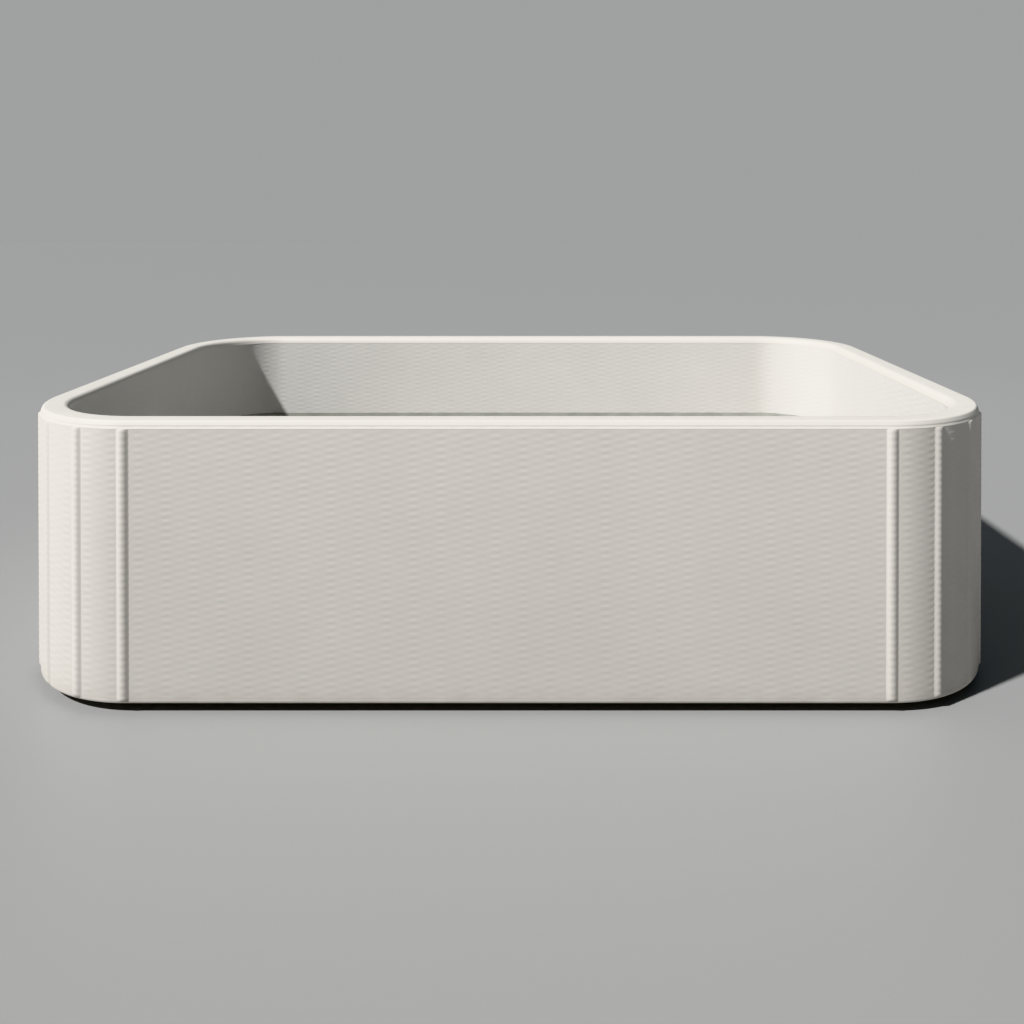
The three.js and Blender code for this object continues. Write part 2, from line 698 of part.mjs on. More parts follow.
// Ball with its stem: the bore lies across the tube when the valve is shut
const leverBottom = bossTop + FIT_GAP;
const leverTop = leverBottom + LEVER_THICKNESS;
const leverNutTop = leverTop + FIT_GAP + LEVER_NUT_THICKNESS;

function ballAndStem() {
  const radius = BALL / 2;
  const bore = DRAIN_BORE / 2;
  const mouth = Math.asin(bore / radius);
  const outline = Array.from({ length: 2 * ROUND_STEPS + 1 }, (_, i) => {
    const angle = mouth + ((Math.PI - 2 * mouth) * i) / (2 * ROUND_STEPS);
    return [radius * Math.sin(angle), -radius * Math.cos(angle)];
  });
  const ball = turned([...outline, outline[0]]).rotateZ(Math.PI / 2).translate(0, ballAt, 0);
  const stemRoot = (bore + radius) / 2;
  const stem = upright(rod(BALL_STEM, stemRoot, leverNutTop, STEM_SIDES));
  return joined(ball, stem);
}
add("drain_ball", ballAndStem(), STEEL, drain);

// Lever on the stem: it points along the wall when the valve is shut
const stemClearance = (from, to) =>
  upright(rod(BALL_STEM + 2 * FIT_GAP, from - CUT_PAST, to + CUT_PAST, STEM_SIDES));

function lever() {
  const half = LEVER_WIDTH / 2;
  const shape = new THREE.Shape();
  shape.absarc(0, 0, half, Math.PI / 2, (3 * Math.PI) / 2);
  shape.absarc(LEVER_LENGTH - half, 0, half, -Math.PI / 2, Math.PI / 2);
  const bar = new THREE.ExtrudeGeometry(shape, {
    depth: LEVER_THICKNESS,
    bevelEnabled: false,
    curveSegments: LEVER_END_STEPS,
  });
  bar.translate(0, ballAt, leverBottom);
  return cut(bar, stemClearance(leverBottom, leverTop));
}
add("drain_lever", lever(), LEVER_RED, drain);
const leverNut = upright(rod(LEVER_NUT, leverTop + FIT_GAP, leverNutTop, HEXAGON));
add("drain_lever_nut", cut(leverNut, stemClearance(leverTop, leverNutTop)), STEEL, drain);

// Outlet cap over the spigot
const capInside = DRAIN_TUBE / 2 + RUNNING_GAP;
const capOutside = capInside + OUTLET_CAP_WALL;
const capEnd = spigotEnd + FIT_GAP + OUTLET_CAP_WALL;
add(
  "drain_cap",
  turned([
    [0, spigotEnd + FIT_GAP],
    [capInside, spigotEnd + FIT_GAP],
    [capInside, spigotEnd - OUTLET_CAP_DEPTH],
    [capOutside, spigotEnd - OUTLET_CAP_DEPTH],
    [capOutside, capEnd],
    [0, capEnd],
  ]),
  MOULDED,
  drain,
);

export default tub;
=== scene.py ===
import math

import bpy
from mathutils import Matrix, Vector


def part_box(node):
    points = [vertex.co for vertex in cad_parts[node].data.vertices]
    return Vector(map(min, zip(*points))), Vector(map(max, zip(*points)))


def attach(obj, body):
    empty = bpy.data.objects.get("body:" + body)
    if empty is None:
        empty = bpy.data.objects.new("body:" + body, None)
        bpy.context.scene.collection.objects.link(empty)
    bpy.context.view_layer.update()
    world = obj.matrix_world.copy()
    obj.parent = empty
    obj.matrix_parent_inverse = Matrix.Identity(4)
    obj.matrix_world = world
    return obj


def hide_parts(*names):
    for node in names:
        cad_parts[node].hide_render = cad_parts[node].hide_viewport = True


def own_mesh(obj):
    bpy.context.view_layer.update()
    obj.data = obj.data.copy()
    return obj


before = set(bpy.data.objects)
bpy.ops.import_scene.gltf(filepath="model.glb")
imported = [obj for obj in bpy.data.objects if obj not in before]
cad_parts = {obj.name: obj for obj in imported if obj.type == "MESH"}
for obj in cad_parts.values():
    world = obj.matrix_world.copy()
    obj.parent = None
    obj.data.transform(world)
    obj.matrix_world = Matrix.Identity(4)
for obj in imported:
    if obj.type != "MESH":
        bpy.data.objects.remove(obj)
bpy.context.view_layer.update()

# Camera
# It stands in front of the long wall, right of its middle and about half a metre above the rim.
# It looks almost level, and the shift brings the tub up to the middle of the frame.
CAMERA_PLACE = (0.0674, -2.9369, 1.1222)
CAMERA_TILT = math.radians(89.5)
CAMERA_SENSOR = 36.0
CAMERA_LENS = 34.897
CAMERA_SHIFT_X = -0.0253
CAMERA_SHIFT_Y = -0.2876


def add_object(name, data):
    """A new object in the scene."""
    made = bpy.data.objects.new(name, data)
    bpy.context.scene.collection.objects.link(made)
    return made


camera = add_object("camera", bpy.data.cameras.new("camera"))
camera.location = CAMERA_PLACE
camera.rotation_euler = (CAMERA_TILT, 0.0, 0.0)
camera.data.sensor_width = CAMERA_SENSOR
camera.data.lens = CAMERA_LENS
camera.data.shift_x = CAMERA_SHIFT_X
camera.data.shift_y = CAMERA_SHIFT_Y
bpy.context.scene.camera = camera


# Floor and light
# A plain pale floor under a key light high on the left in front, small enough for a clear shadow's edge.
# Soft fill comes from all round, and a low wide panel behind lights the back wall and its fittings.
TO_KEY = Vector((-0.592, -0.370, 0.716))
KEY_STRENGTH = 5.5
KEY_ANGLE = math.radians(2.5)
FILL_COLOUR = (0.88, 0.94, 1.0, 1.0)
FILL_STRENGTH = 0.18
BACK_FILL_POWER = 32.0
BACK_FILL_WIDTH = 3.0
BACK_FILL_HEIGHT = 0.7
BACK_FILL_PLACE = (0.0, 4.0, 0.4)
FLOOR_COLOUR = (0.31, 0.31, 0.305, 1.0)
FLOOR_HALF = 30.0
BACKDROP_COLOUR = (0.385, 0.395, 0.39, 1.0)
CRISP_ANGLE = 35
QUARTERS = ((1, 1), (-1, 1), (-1, -1), (1, -1))
QUARTER_TURN = math.pi / 2


def connect(tree, node, inputs):
    """Set a node's inputs; each is a value, or the socket that it is linked to."""
    for key, value in inputs.items():
        if isinstance(value, bpy.types.NodeSocket):
            tree.links.new(value, node.inputs[key])
        else:
            node.inputs[key].default_value = value


def place(tree, kind, inputs=None, **settings):
    """A new node with its settings and its inputs."""
    node = tree.nodes.new(kind)
    for name, value in settings.items():
        setattr(node, name, value)
    connect(tree, node, inputs or {})
    return node


def object_space(tree):
    """A texture's coordinates: the piece's own, in metres."""
    return place(tree, "ShaderNodeTexCoord").outputs["Object"]


def noise(tree, where, scale, detail, roughness=0.5):
    """A cloudy mask."""
    return place(tree, "ShaderNodeTexNoise", {
        "Vector": where, "Scale": scale, "Detail": detail, "Roughness": roughness}).outputs["Fac"]


def spread(tree, value, low=0.0, high=1.0, first=0.0, last=1.0, **settings):
    """A value from low to high, spread from first to last."""
    return place(tree, "ShaderNodeMapRange", {
        "Value": value, "From Min": low, "From Max": high, "To Min": first, "To Max": last},
        **settings).outputs["Result"]


def new_material(name):
    """An empty node material, with its tree and the Principled shader already on the output."""
    material = bpy.data.materials.new(name)
    material.use_nodes = True
    tree = material.node_tree
    tree.nodes.clear()
    shader = place(tree, "ShaderNodeBsdfPrincipled")
    place(tree, "ShaderNodeOutputMaterial", {"Surface": shader.outputs["BSDF"]})
    return material, tree, shader


def smooth(mesh, angle=CRISP_ANGLE):
    """Shade a mesh smooth; edges sharper than the angle, in degrees, stay crisp."""
    mesh.shade_smooth()
    mesh.set_sharp_from_angle(angle=math.radians(angle))


def new_piece(name, points, faces, angle=CRISP_ANGLE):
    """A smooth mesh object at the origin."""
    mesh = bpy.data.meshes.new(name)
    mesh.from_pydata(points, [], faces)
    smooth(mesh, angle)
    return add_object(name, mesh)


key_light = add_object("key", bpy.data.lights.new("key", "SUN"))
key_light.data.energy = KEY_STRENGTH
key_light.data.angle = KEY_ANGLE
key_light.rotation_euler = (-TO_KEY).to_track_quat("-Z", "Y").to_euler()
back_fill = add_object("back_fill", bpy.data.lights.new("back_fill", "AREA"))
back_fill.data.energy = BACK_FILL_POWER
back_fill.data.shape = "RECTANGLE"
back_fill.data.size = BACK_FILL_WIDTH
back_fill.data.size_y = BACK_FILL_HEIGHT
back_fill.location = BACK_FILL_PLACE
back_fill.rotation_euler = (-QUARTER_TURN, 0.0, 0.0)
back_fill.visible_camera = False
world = bpy.data.worlds.new("studio")
world.use_nodes = True
sky = world.node_tree
fill = sky.nodes["Background"]
connect(sky, fill, {"Color": FILL_COLOUR, "Strength": FILL_STRENGTH})
backdrop = place(sky, "ShaderNodeBackground", {"Color": BACKDROP_COLOUR})
seen = place(sky, "ShaderNodeLightPath").outputs["Is Camera Ray"]
shown = place(sky, "ShaderNodeMixShader", {0: seen, 1: fill.outputs[0], 2: backdrop.outputs[0]})
connect(sky, sky.nodes["World Output"], {"Surface": shown.outputs[0]})
bpy.context.scene.world = world
bpy.context.scene.view_settings.view_transform = "Khronos PBR Neutral"

floor_paint, tree, shader = new_material("studio_floor")
grain = noise(tree, object_space(tree), scale=3.0, detail=4.0)
connect(tree, shader, {"Base Color": FLOOR_COLOUR, "Roughness": spread(tree, grain, first=0.46, last=0.52)})
floor_corners = [(x * FLOOR_HALF, y * FLOOR_HALF, 0) for x, y in QUARTERS]
studio_floor = new_piece("studio_floor", floor_corners, [(0, 1, 2, 3)])
studio_floor.data.materials.append(floor_paint)


# Ground pad
# The mat under the whole tub: dark closed-cell foam, 20 mm thick, set back from the wall's foot.
# It is cut from sheet, with an edge that the cutter has pressed slightly round.
PAD_ROUND = 0.004
PAD_ROUND_STEPS = 4
CORNER_STEPS = 36
FOAM_COLOUR = (0.030, 0.032, 0.034, 1.0)
FOAM_WORN = (0.055, 0.056, 0.056, 1.0)
FOAM_CELLS = 900.0
WALL_RADIUS = 0.295
pad_low, pad_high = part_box("ground_pad")
skin_low, skin_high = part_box("outer_skin")
CENTRE_X = skin_high.x - WALL_RADIUS
CENTRE_Y = skin_high.y - WALL_RADIUS
PAD_RADIUS = pad_high.x - CENTRE_X


def arc(centre, radius, start, end, steps):
    """Points (across, up) of an arc, the angles in degrees."""
    angles = [math.radians(start + (end - start) * i / steps) for i in range(steps + 1)]
    return [(centre[0] + radius * math.cos(a), centre[1] + radius * math.sin(a)) for a in angles]


def heading(angle):
    """The level direction at an angle from +X, anticlockwise seen from above."""
    return Vector((math.cos(angle), math.sin(angle), 0))


def corner_stations(quarter, radius, steps):
    """Stations round one corner: the corner's centre, the way out, and the length from its start."""
    side_x, side_y = QUARTERS[quarter]
    centre = Vector((side_x * CENTRE_X, side_y * CENTRE_Y, 0))
    bend = radius * QUARTER_TURN
    return [(centre, heading((quarter + i / steps) * QUARTER_TURN), bend * i / steps)
            for i in range(steps + 1)]


def straight_stations(quarter, steps):
    """Stations along the straight wall that follows a corner, anticlockwise seen from above."""
    start = corner_stations(quarter, 0, 1)[1]
    end = corner_stations((quarter + 1) % 4, 0, 1)[0]
    run = end[0] - start[0]
    return [(start[0] + run * i / steps, start[1], run.length * i / steps) for i in range(steps + 1)]


def straight_length(quarter):
    """The length of the straight wall that follows a corner."""
    return straight_stations(quarter, 1)[1][2]


def whole_loop(radius, spacing=None):
    """Stations all round the tub; with a spacing the straight walls are stepped as well."""
    loop, travelled = [], 0.0
    for quarter in range(4):
        bend = radius * QUARTER_TURN
        steps = max(CORNER_STEPS, round(bend / spacing)) if spacing else CORNER_STEPS
        loop += [(c, out, travelled + s) for c, out, s in corner_stations(quarter, radius, steps)]
        travelled += bend
        if spacing:
            wall = straight_stations(quarter, round(straight_length(quarter) / spacing))
            loop += [(c, out, travelled + s) for c, out, s in wall[1:-1]]
        travelled += straight_length(quarter)
    return loop


def grid(lines, count, ring=False, joined=False, rising=False):
    """Faces between lines of so many points; a ring closes each line, and joined lines close on the first.

    Rising lines are levels, one over the other, that run anticlockwise seen from above.
    """
    faces = []
    for i in range(lines if joined else lines - 1):
        here, there = i * count, (i + 1) % lines * count
        for j in range(count if ring else count - 1):
            k = (j + 1) % count
            if rising:
                faces.append((here + j, here + k, there + k, there + j))
            else:
                faces.append((here + j, there + j, there + k, here + k))
    return faces


def capped(levels, count, rising=True):
    """Faces of a solid from rings of points, closed by a flat face at each end."""
    first = tuple(range(count))
    last = tuple(range((levels - 1) * count, levels * count))
    ends = [first[::-1], last] if rising else [first, last[::-1]]
    return grid(levels, count, ring=True, rising=rising) + ends


def swept(name, profile, loop):
    """A closed profile of (radius, height), anticlockwise, carried round the tub."""
    points = [c + out * r + Vector((0, 0, z)) for c, out, _ in loop for r, z in profile]
    return new_piece(name, points, grid(len(loop), len(profile), ring=True, joined=True))


def dress(piece, body, slot, material, *nodes):
    """Give a piece its material, the body that it rides on and the nodes that it stands for; its slot is not
    used.
    """
    piece.data.materials.clear()
    piece.data.materials.append(material)
    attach(piece, body)
    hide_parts(*nodes)


def blend(tree, factor, first, second, **settings):
    """A mix of two colours."""
    return place(tree, "ShaderNodeMix", {"Factor": factor, "A": first, "B": second},
                 data_type="RGBA", **settings).outputs["Result"]


def bump(tree, height, strength, depth):
    """The normal of a surface that a mask raises, by a depth in metres."""
    return place(tree, "ShaderNodeBump", {
        "Height": height, "Strength": strength, "Distance": depth}).outputs["Normal"]


def patchy(name, colour, worn, scale, detail, low, high):
    """A material with soft patches of a second tone; its tree, shader, coordinates and mask come with it."""
    material, tree, shader = new_material(name)
    where = object_space(tree)
    mask = spread(tree, noise(tree, where, scale, detail), low, high)
    connect(tree, shader, {"Base Color": blend(tree, mask, colour, worn)})
    return material, tree, shader, where, mask


foam, tree, shader, where, _ = patchy(
    "foam", FOAM_COLOUR, FOAM_WORN, scale=14.0, detail=5.0, low=0.45, high=0.7)
cells = place(tree, "ShaderNodeTexVoronoi", {"Vector": where, "Scale": FOAM_CELLS}).outputs["Distance"]
connect(tree, shader, {"Roughness": 0.85, "Normal": bump(tree, cells, strength=0.6, depth=0.0006)})
pad_edge = (arc((PAD_RADIUS - PAD_ROUND, pad_low.z + PAD_ROUND), PAD_ROUND, -90, 0, PAD_ROUND_STEPS)
            + arc((PAD_RADIUS - PAD_ROUND, pad_high.z - PAD_ROUND), PAD_ROUND, 0, 90, PAD_ROUND_STEPS))
pad_loop = whole_loop(PAD_RADIUS)
pad_points = [c + out * r + Vector((0, 0, z)) for r, z in pad_edge for c, out, _ in pad_loop]
ground_pad = new_piece("ground_pad_foam", pad_points, capped(len(pad_edge), len(pad_loop)))
dress(ground_pad, "tub", "foam", foam, "ground_pad")


# Bottom band
# The strip of coated cloth that closes the foot of the wall and rounds its lower edges.
# It is welded to both wall skins, and the tub stands on the pad with its flat underside.
BAND_ROUND = 0.008
BAND_ROUND_STEPS = 8
WALL_THICKNESS = 0.066
INNER_RADIUS = WALL_RADIUS - WALL_THICKNESS
BONE_COLOUR = (0.668, 0.634, 0.588, 1.0)
BONE_SHADE = (0.644, 0.610, 0.564, 1.0)
BONE_SOIL_AND_SHADE = 0.35
SOIL_AND_SHADE_COLOUR = (0.460, 0.425, 0.370, 1.0)
PAINTED_SHADE_BELOW = (0.86, 0.86, 0.86, 1.0)
CLOTH_ROUGH = (0.46, 0.58)
CLOTH_WEAVE = 0.00012
THREAD_SPACING = 0.0011
THREAD_SHARE = 0.35
TURN = 2 * math.pi


def new_tree(name, kind, inputs, outputs):
    """A node group with sockets of named kinds, and what its inputs give."""
    tree = bpy.data.node_groups.new(name, kind)
    for way, sockets in (("INPUT", inputs), ("OUTPUT", outputs)):
        for socket, holds in sockets.items():
            tree.interface.new_socket(socket, in_out=way, socket_type=f"NodeSocket{holds}")
    return tree, place(tree, "NodeGroupInput").outputs


def maths(tree, operation, *values):
    """The result of a sum on values or sockets."""
    return place(tree, "ShaderNodeMath", dict(enumerate(values)), operation=operation).outputs[0]


def coated_cloth_group():
    """Masks of a coated cloth: mottle, gloss, soil with painted shade at the foot, painted shade lower down,
    weave's height.
    """
    masks = dict.fromkeys(("Mottle", "Gloss", "Soil And Shade", "Painted Shade Below", "Height"), "Float")
    group, given = new_tree("coated_cloth", "ShaderNodeTree", {"Thread Spacing": "Float"}, masks)
    where = object_space(group)
    per_length = maths(group, "DIVIDE", TURN, given["Thread Spacing"])
    threads = []
    for name in ("along", "across"):
        length = place(group, "ShaderNodeAttribute", attribute_name=name).outputs["Fac"]
        threads.append(maths(group, "SINE", maths(group, "MULTIPLY", length, per_length)))
    weave = maths(group, "MULTIPLY", *threads)
    pores = noise(group, where, scale=700.0, detail=2.0)
    slow = noise(group, where, scale=4.0, detail=5.0, roughness=0.6)
    gloss = spread(group, noise(group, where, scale=23.0, detail=3.0), low=0.3, high=0.7)
    up = place(group, "ShaderNodeSeparateXYZ", {"Vector": where}).outputs["Z"]
    # Soil and painted shade: darker patches at the foot, part dirt and part the shade near the floor.
    foot = spread(group, up, low=0.022, high=0.075, first=1.0, last=0.0, interpolation_type="SMOOTHSTEP")
    place(group, "NodeGroupOutput", {
        "Mottle": spread(group, slow, low=0.32, high=0.68),
        "Gloss": gloss,
        "Soil And Shade": maths(group, "MULTIPLY", foot, gloss),
        # Painted shade: this mask darkens the cloth's colour from about 0.6 m down to the foot.
        "Painted Shade Below": spread(group, up, low=0.03, high=0.62, first=1.0, last=0.0),
        "Height": maths(group, "MULTIPLY_ADD", weave, THREAD_SHARE, pores)})
    return group


def bone_material(name, light, dark, soil_and_shade, rough, weave):
    """Bone-coloured coated cloth: two tones, its share of soil and painted shade, its roughness and its
    weave's depth.
    """
    material, tree, shader = new_material(name)
    masks = place(tree, "ShaderNodeGroup", {"Thread Spacing": THREAD_SPACING}, node_tree=coated_cloth).outputs
    tone = blend(tree, masks["Mottle"], light, dark)
    # Painted shade: the foot's soil stands partly for shade, and the cloth is painted darker towards the
    # bottom.
    soiled_and_shaded = blend(tree, maths(tree, "MULTIPLY", masks["Soil And Shade"], soil_and_shade), tone, SOIL_AND_SHADE_COLOUR)
    connect(tree, shader, {
        "Base Color": blend(tree, masks["Painted Shade Below"], soiled_and_shaded, PAINTED_SHADE_BELOW, blend_type="MULTIPLY"),
        "Roughness": spread(tree, masks["Gloss"], first=rough[0], last=rough[1]),
        "Normal": bump(tree, masks["Height"], strength=0.5, depth=weave)})
    return material


coated_cloth = coated_cloth_group()
skin_cloth = bone_material("skin_cloth", BONE_COLOUR, BONE_SHADE, BONE_SOIL_AND_SHADE, CLOTH_ROUGH, CLOTH_WEAVE)
band_low, band_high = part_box("bottom_band")
band_profile = (
    arc((WALL_RADIUS - BAND_ROUND, band_low.z + BAND_ROUND), BAND_ROUND, -90, 0, BAND_ROUND_STEPS)
    + [(WALL_RADIUS, band_high.z), (INNER_RADIUS, band_high.z)]
    + arc((INNER_RADIUS + BAND_ROUND, band_low.z + BAND_ROUND), BAND_ROUND, 180, 270, BAND_ROUND_STEPS))
bottom_band = swept("bottom_band_cloth", band_profile, whole_loop(WALL_RADIUS))
dress(bottom_band, "tub", "skin", skin_cloth, "bottom_band")


# Outer skin
# The wall's outer sheet: coated drop-stitch cloth, in four straight panels and four corner panels.
# The threads inside hold it at each stitch, so it shows rows of short dashes, staggered by half a row.
COLUMN_PITCH = 0.061
ROW_PITCH = 0.0158
STITCH_RELIEF = 0.00043
STITCH_SHARPNESS = 2.0
WEAK_SHARE = 0.55
RELIEF_SEED = 7.0
FACES_PER_COLUMN = 10
FACES_PER_ROW = 4
FACE_LENGTH = COLUMN_PITCH / FACES_PER_COLUMN
FACE_HEIGHT = ROW_PITCH / FACES_PER_ROW
SKIN_THICKNESS = 0.0015
SKIN_LAP = 0.0008
WELD_WIDTH = 0.008
VALVE_HOLE = 0.0193
DRAIN_HOLE = 0.0173
CUT_PAST = 0.01
DRAIN_CUT = 0.1
SIDES = ("back", "left", "front", "right")
CORNERS = ("back_right", "back_left", "front_left", "front_right")


def hand_out(tree, geometry, material):
    """End a geometry tree: what it made, in its material."""
    real = place(tree, "GeometryNodeRealizeInstances", {"Geometry": geometry}).outputs["Geometry"]
    coloured = place(tree, "GeometryNodeSetMaterial", {"Geometry": real, "Material": material})
    place(tree, "NodeGroupOutput", {"Geometry": coloured.outputs["Geometry"]})


def relief_tree():
    """Moves a mesh along its own 'outward' by rows and columns of waves; every other column is weak."""
    sizes = ("Column Pitch", "Row Pitch", "Relief", "Sharpness", "Weak Share", "Unevenness")
    tree, given = new_tree(
        "drop_stitch_relief", "GeometryNodeTree",
        {"Geometry": "Geometry", **dict.fromkeys(sizes, "Float"), "Material": "Material"},
        {"Geometry": "Geometry"})
    waves = []
    for name, pitch in (("along", "Column Pitch"), ("across", "Row Pitch")):
        length = place(tree, "GeometryNodeInputNamedAttribute", {"Name": name}, data_type="FLOAT")
        turns = maths(tree, "DIVIDE", length.outputs["Attribute"], given[pitch])
        waves.append(maths(tree, "COSINE", maths(tree, "MULTIPLY", turns, TURN)))
    half_waves = []
    for side in (1.0, -1.0):
        above = maths(tree, "MAXIMUM", maths(tree, "MULTIPLY", waves[0], side), 0.0)
        half_waves.append(maths(tree, "POWER", above, given["Sharpness"]))
    weak = maths(tree, "MULTIPLY", half_waves[1], given["Weak Share"])
    wave = maths(tree, "MULTIPLY", maths(tree, "SUBTRACT", half_waves[0], weak), waves[1])
    clouds = place(tree, "ShaderNodeTexNoise", {"W": RELIEF_SEED, "Scale": 9.0, "Detail": 3.0},
                   noise_dimensions="4D")
    swing = spread(tree, clouds.outputs["Fac"], first=-1.0, last=1.0)
    share = maths(tree, "MULTIPLY_ADD", swing, given["Unevenness"], 1.0)
    height = maths(tree, "MULTIPLY", wave, maths(tree, "MULTIPLY", share, given["Relief"]))
    outward = place(tree, "GeometryNodeInputNamedAttribute", {"Name": "outward"}, data_type="FLOAT_VECTOR")
    offset = place(tree, "ShaderNodeVectorMath", {0: outward.outputs["Attribute"], "Scale": height},
                   operation="SCALE")
    moved = place(tree, "GeometryNodeSetPosition", {
        "Geometry": given["Geometry"], "Offset": offset.outputs["Vector"]})
    hand_out(tree, moved.outputs["Geometry"], given["Material"])
    return tree


def settle(piece):
    """Turn a piece's modifiers into its plain mesh."""
    graph = bpy.context.evaluated_depsgraph_get()
    made = bpy.data.meshes.new_from_object(
        piece.evaluated_get(graph), preserve_all_data_layers=True, depsgraph=graph)
    piece.modifiers.clear()
    rough_mesh = piece.data
    piece.data = made
    bpy.data.meshes.remove(rough_mesh)


def shape_by_tree(piece, tree, values, angle):
    """Let a geometry tree make a piece's mesh, with the tree's inputs given by name."""
    modifier = piece.modifiers.new(tree.name, "NODES")
    modifier.node_group = tree
    for item in tree.interface.items_tree:
        if item.name in values and item.in_out == "INPUT":
            modifier[item.identifier] = values[item.name]
    settle(piece)
    smooth(piece.data, angle)


def raise_relief(piece, marks, material, column=COLUMN_PITCH, row=ROW_PITCH, relief=STITCH_RELIEF,
                 sharpness=1.0, weak=1.0, unevenness=0.5, angle=CRISP_ANGLE):
    """Store each point's (along, across, outward) and let the relief tree shape the piece."""
    for name, kind, field, values in (
            ("along", "FLOAT", "value", [m[0] for m in marks]),
            ("across", "FLOAT", "value", [m[1] for m in marks]),
            ("outward", "FLOAT_VECTOR", "vector", [part for m in marks for part in m[2]])):
        piece.data.attributes.new(name, kind, "POINT").data.foreach_set(field, values)
    shape_by_tree(piece, drop_stitch, {
        "Column Pitch": column, "Row Pitch": row, "Relief": relief, "Sharpness": sharpness,
        "Weak Share": weak, "Unevenness": unevenness, "Material": material}, angle)


def ease_in(share):
    """A smooth step from 0 to 1."""
    share = min(1.0, max(0.0, share))
    return share * share * (3 - 2 * share)


def add_boolean(piece, operation, other):
    """Cut another solid out of a piece, or join it, by a modifier."""
    modifier = piece.modifiers.new(operation.lower(), "BOOLEAN")
    modifier.operation = operation
    modifier.solver = "EXACT"
    modifier.object = other


def skin_panel(name, stations, radius, facing, low, high, cloth, holes=()):
    """One sheet of a wall skin: a plain back, and a face whose relief dies away at its two welds."""
    rows = round((high - low) / FACE_HEIGHT)
    heights = [low + (high - low) * r / rows for r in range(rows + 1)]
    points, marks = [], []
    stations = stations if facing > 0 else stations[::-1]
    for centre, out, along in stations:
        for z in heights:
            points.append(centre + out * radius + Vector((0, 0, z)))
            marks.append((along, z, out * facing * ease_in(min(z - low, high - z) / WELD_WIDTH)))
    for centre, out, along in stations:
        for z in (low, high):
            points.append(centre + out * (radius - facing * SKIN_THICKNESS) + Vector((0, 0, z)))
            marks.append((along, z, (0, 0, 0)))
    tall, back = rows + 1, (rows + 1) * len(stations)
    last = len(stations) - 1
    faces = grid(len(stations), tall)
    for i in range(last):
        under, over = back + 2 * i, back + 2 * i + 1
        faces.append((under, over, over + 2, under + 2))
        faces.append((i * tall, under, under + 2, (i + 1) * tall))
        faces.append((i * tall + rows, (i + 1) * tall + rows, over + 2, over))
    faces.append((*range(tall), back + 1, back))
    faces.append((*reversed(range(last * tall, back)), back + 2 * last, back + 2 * last + 1))
    panel = new_piece(name, points, faces)
    raise_relief(panel, marks, cloth, sharpness=STITCH_SHARPNESS, weak=WEAK_SHARE)
    for hole in holes:
        add_boolean(panel, "DIFFERENCE", hole)
    if holes:
        settle(panel)
    return panel


def wall_skin(node, radius, facing, low, high, cloth, back_holes):
    """All eight panels of a wall skin, with the stitch columns counted right round the tub."""
    travelled = 0.0
    for quarter in range(4):
        bend = radius * QUARTER_TURN
        corner = corner_stations(quarter, radius, round(bend / FACE_LENGTH))
        run = straight_length(quarter)
        wall = straight_stations(quarter, round(run / FACE_LENGTH))
        for label, stations, length in ((CORNERS[quarter], corner, bend), (SIDES[quarter], wall, run)):
            counted = [(c, out, travelled + s) for c, out, s in stations]
            holes = back_holes if label == "back" else ()
            panel = skin_panel(f"{node}_{label}", counted, radius, facing, low, high, cloth, holes)
            dress(panel, "tub", "skin", cloth, node)
            travelled += length


def hole_cutter(name, axis_x, axis_z, radius, from_y, to_y, sides=48):
    """A plain cylinder along Y that cuts a fitting's hole; it is deleted after use."""
    ring = [heading(TURN * i / sides) * radius for i in range(sides)]
    points = [(axis_x + spot.x, y, axis_z + spot.y) for y in (from_y, to_y) for spot in ring]
    return new_piece(name, points, capped(2, sides, rising=False))


drop_stitch = relief_tree()
rim_low, rim_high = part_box("rim_cap")
SKIN_TOP = rim_low.z + SKIN_LAP
valve_low, valve_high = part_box("valve_body")
tube_low, tube_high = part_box("drain_tube")
VALVE_AXIS = ((valve_low.x + valve_high.x) / 2, (valve_low.z + valve_high.z) / 2)
DRAIN_AXIS = ((tube_low.x + tube_high.x) / 2, (tube_low.z + tube_high.z) / 2)
cut_end = skin_high.y + CUT_PAST
valve_hole = hole_cutter("valve_hole", *VALVE_AXIS, VALVE_HOLE, skin_high.y - CUT_PAST, cut_end)
drain_hole = hole_cutter("drain_hole", *DRAIN_AXIS, DRAIN_HOLE, skin_high.y - DRAIN_CUT, cut_end)
wall_skin("outer_skin", WALL_RADIUS, 1, skin_low.z, SKIN_TOP, skin_cloth, (valve_hole, drain_hole))


# Inner skin
# The wall's inner sheet, of the same cloth and with the same stitch rows, facing into the tub.
# It is held 66 mm from the outer sheet by the threads, and welded to the rim cap and the band.
# Painted shade: the inner cloth is a cooler copy of the wall's colour, to cool the shade and bounced light
# inside the tub.
INNER_COOLED_COLOUR = (0.650, 0.632, 0.600, 1.0)
INNER_COOLED_SHADE = (0.626, 0.608, 0.576, 1.0)
INNER_SOIL_AND_SHADE = 0.0
inner_cloth = bone_material("inner_cloth", INNER_COOLED_COLOUR, INNER_COOLED_SHADE, INNER_SOIL_AND_SHADE, CLOTH_ROUGH, CLOTH_WEAVE)
inner_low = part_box("inner_skin")[0]
wall_skin("inner_skin", INNER_RADIUS, -1, inner_low.z, SKIN_TOP, inner_cloth, (drain_hole,))
for cutter in (valve_hole, drain_hole):
    bpy.data.objects.remove(cutter)


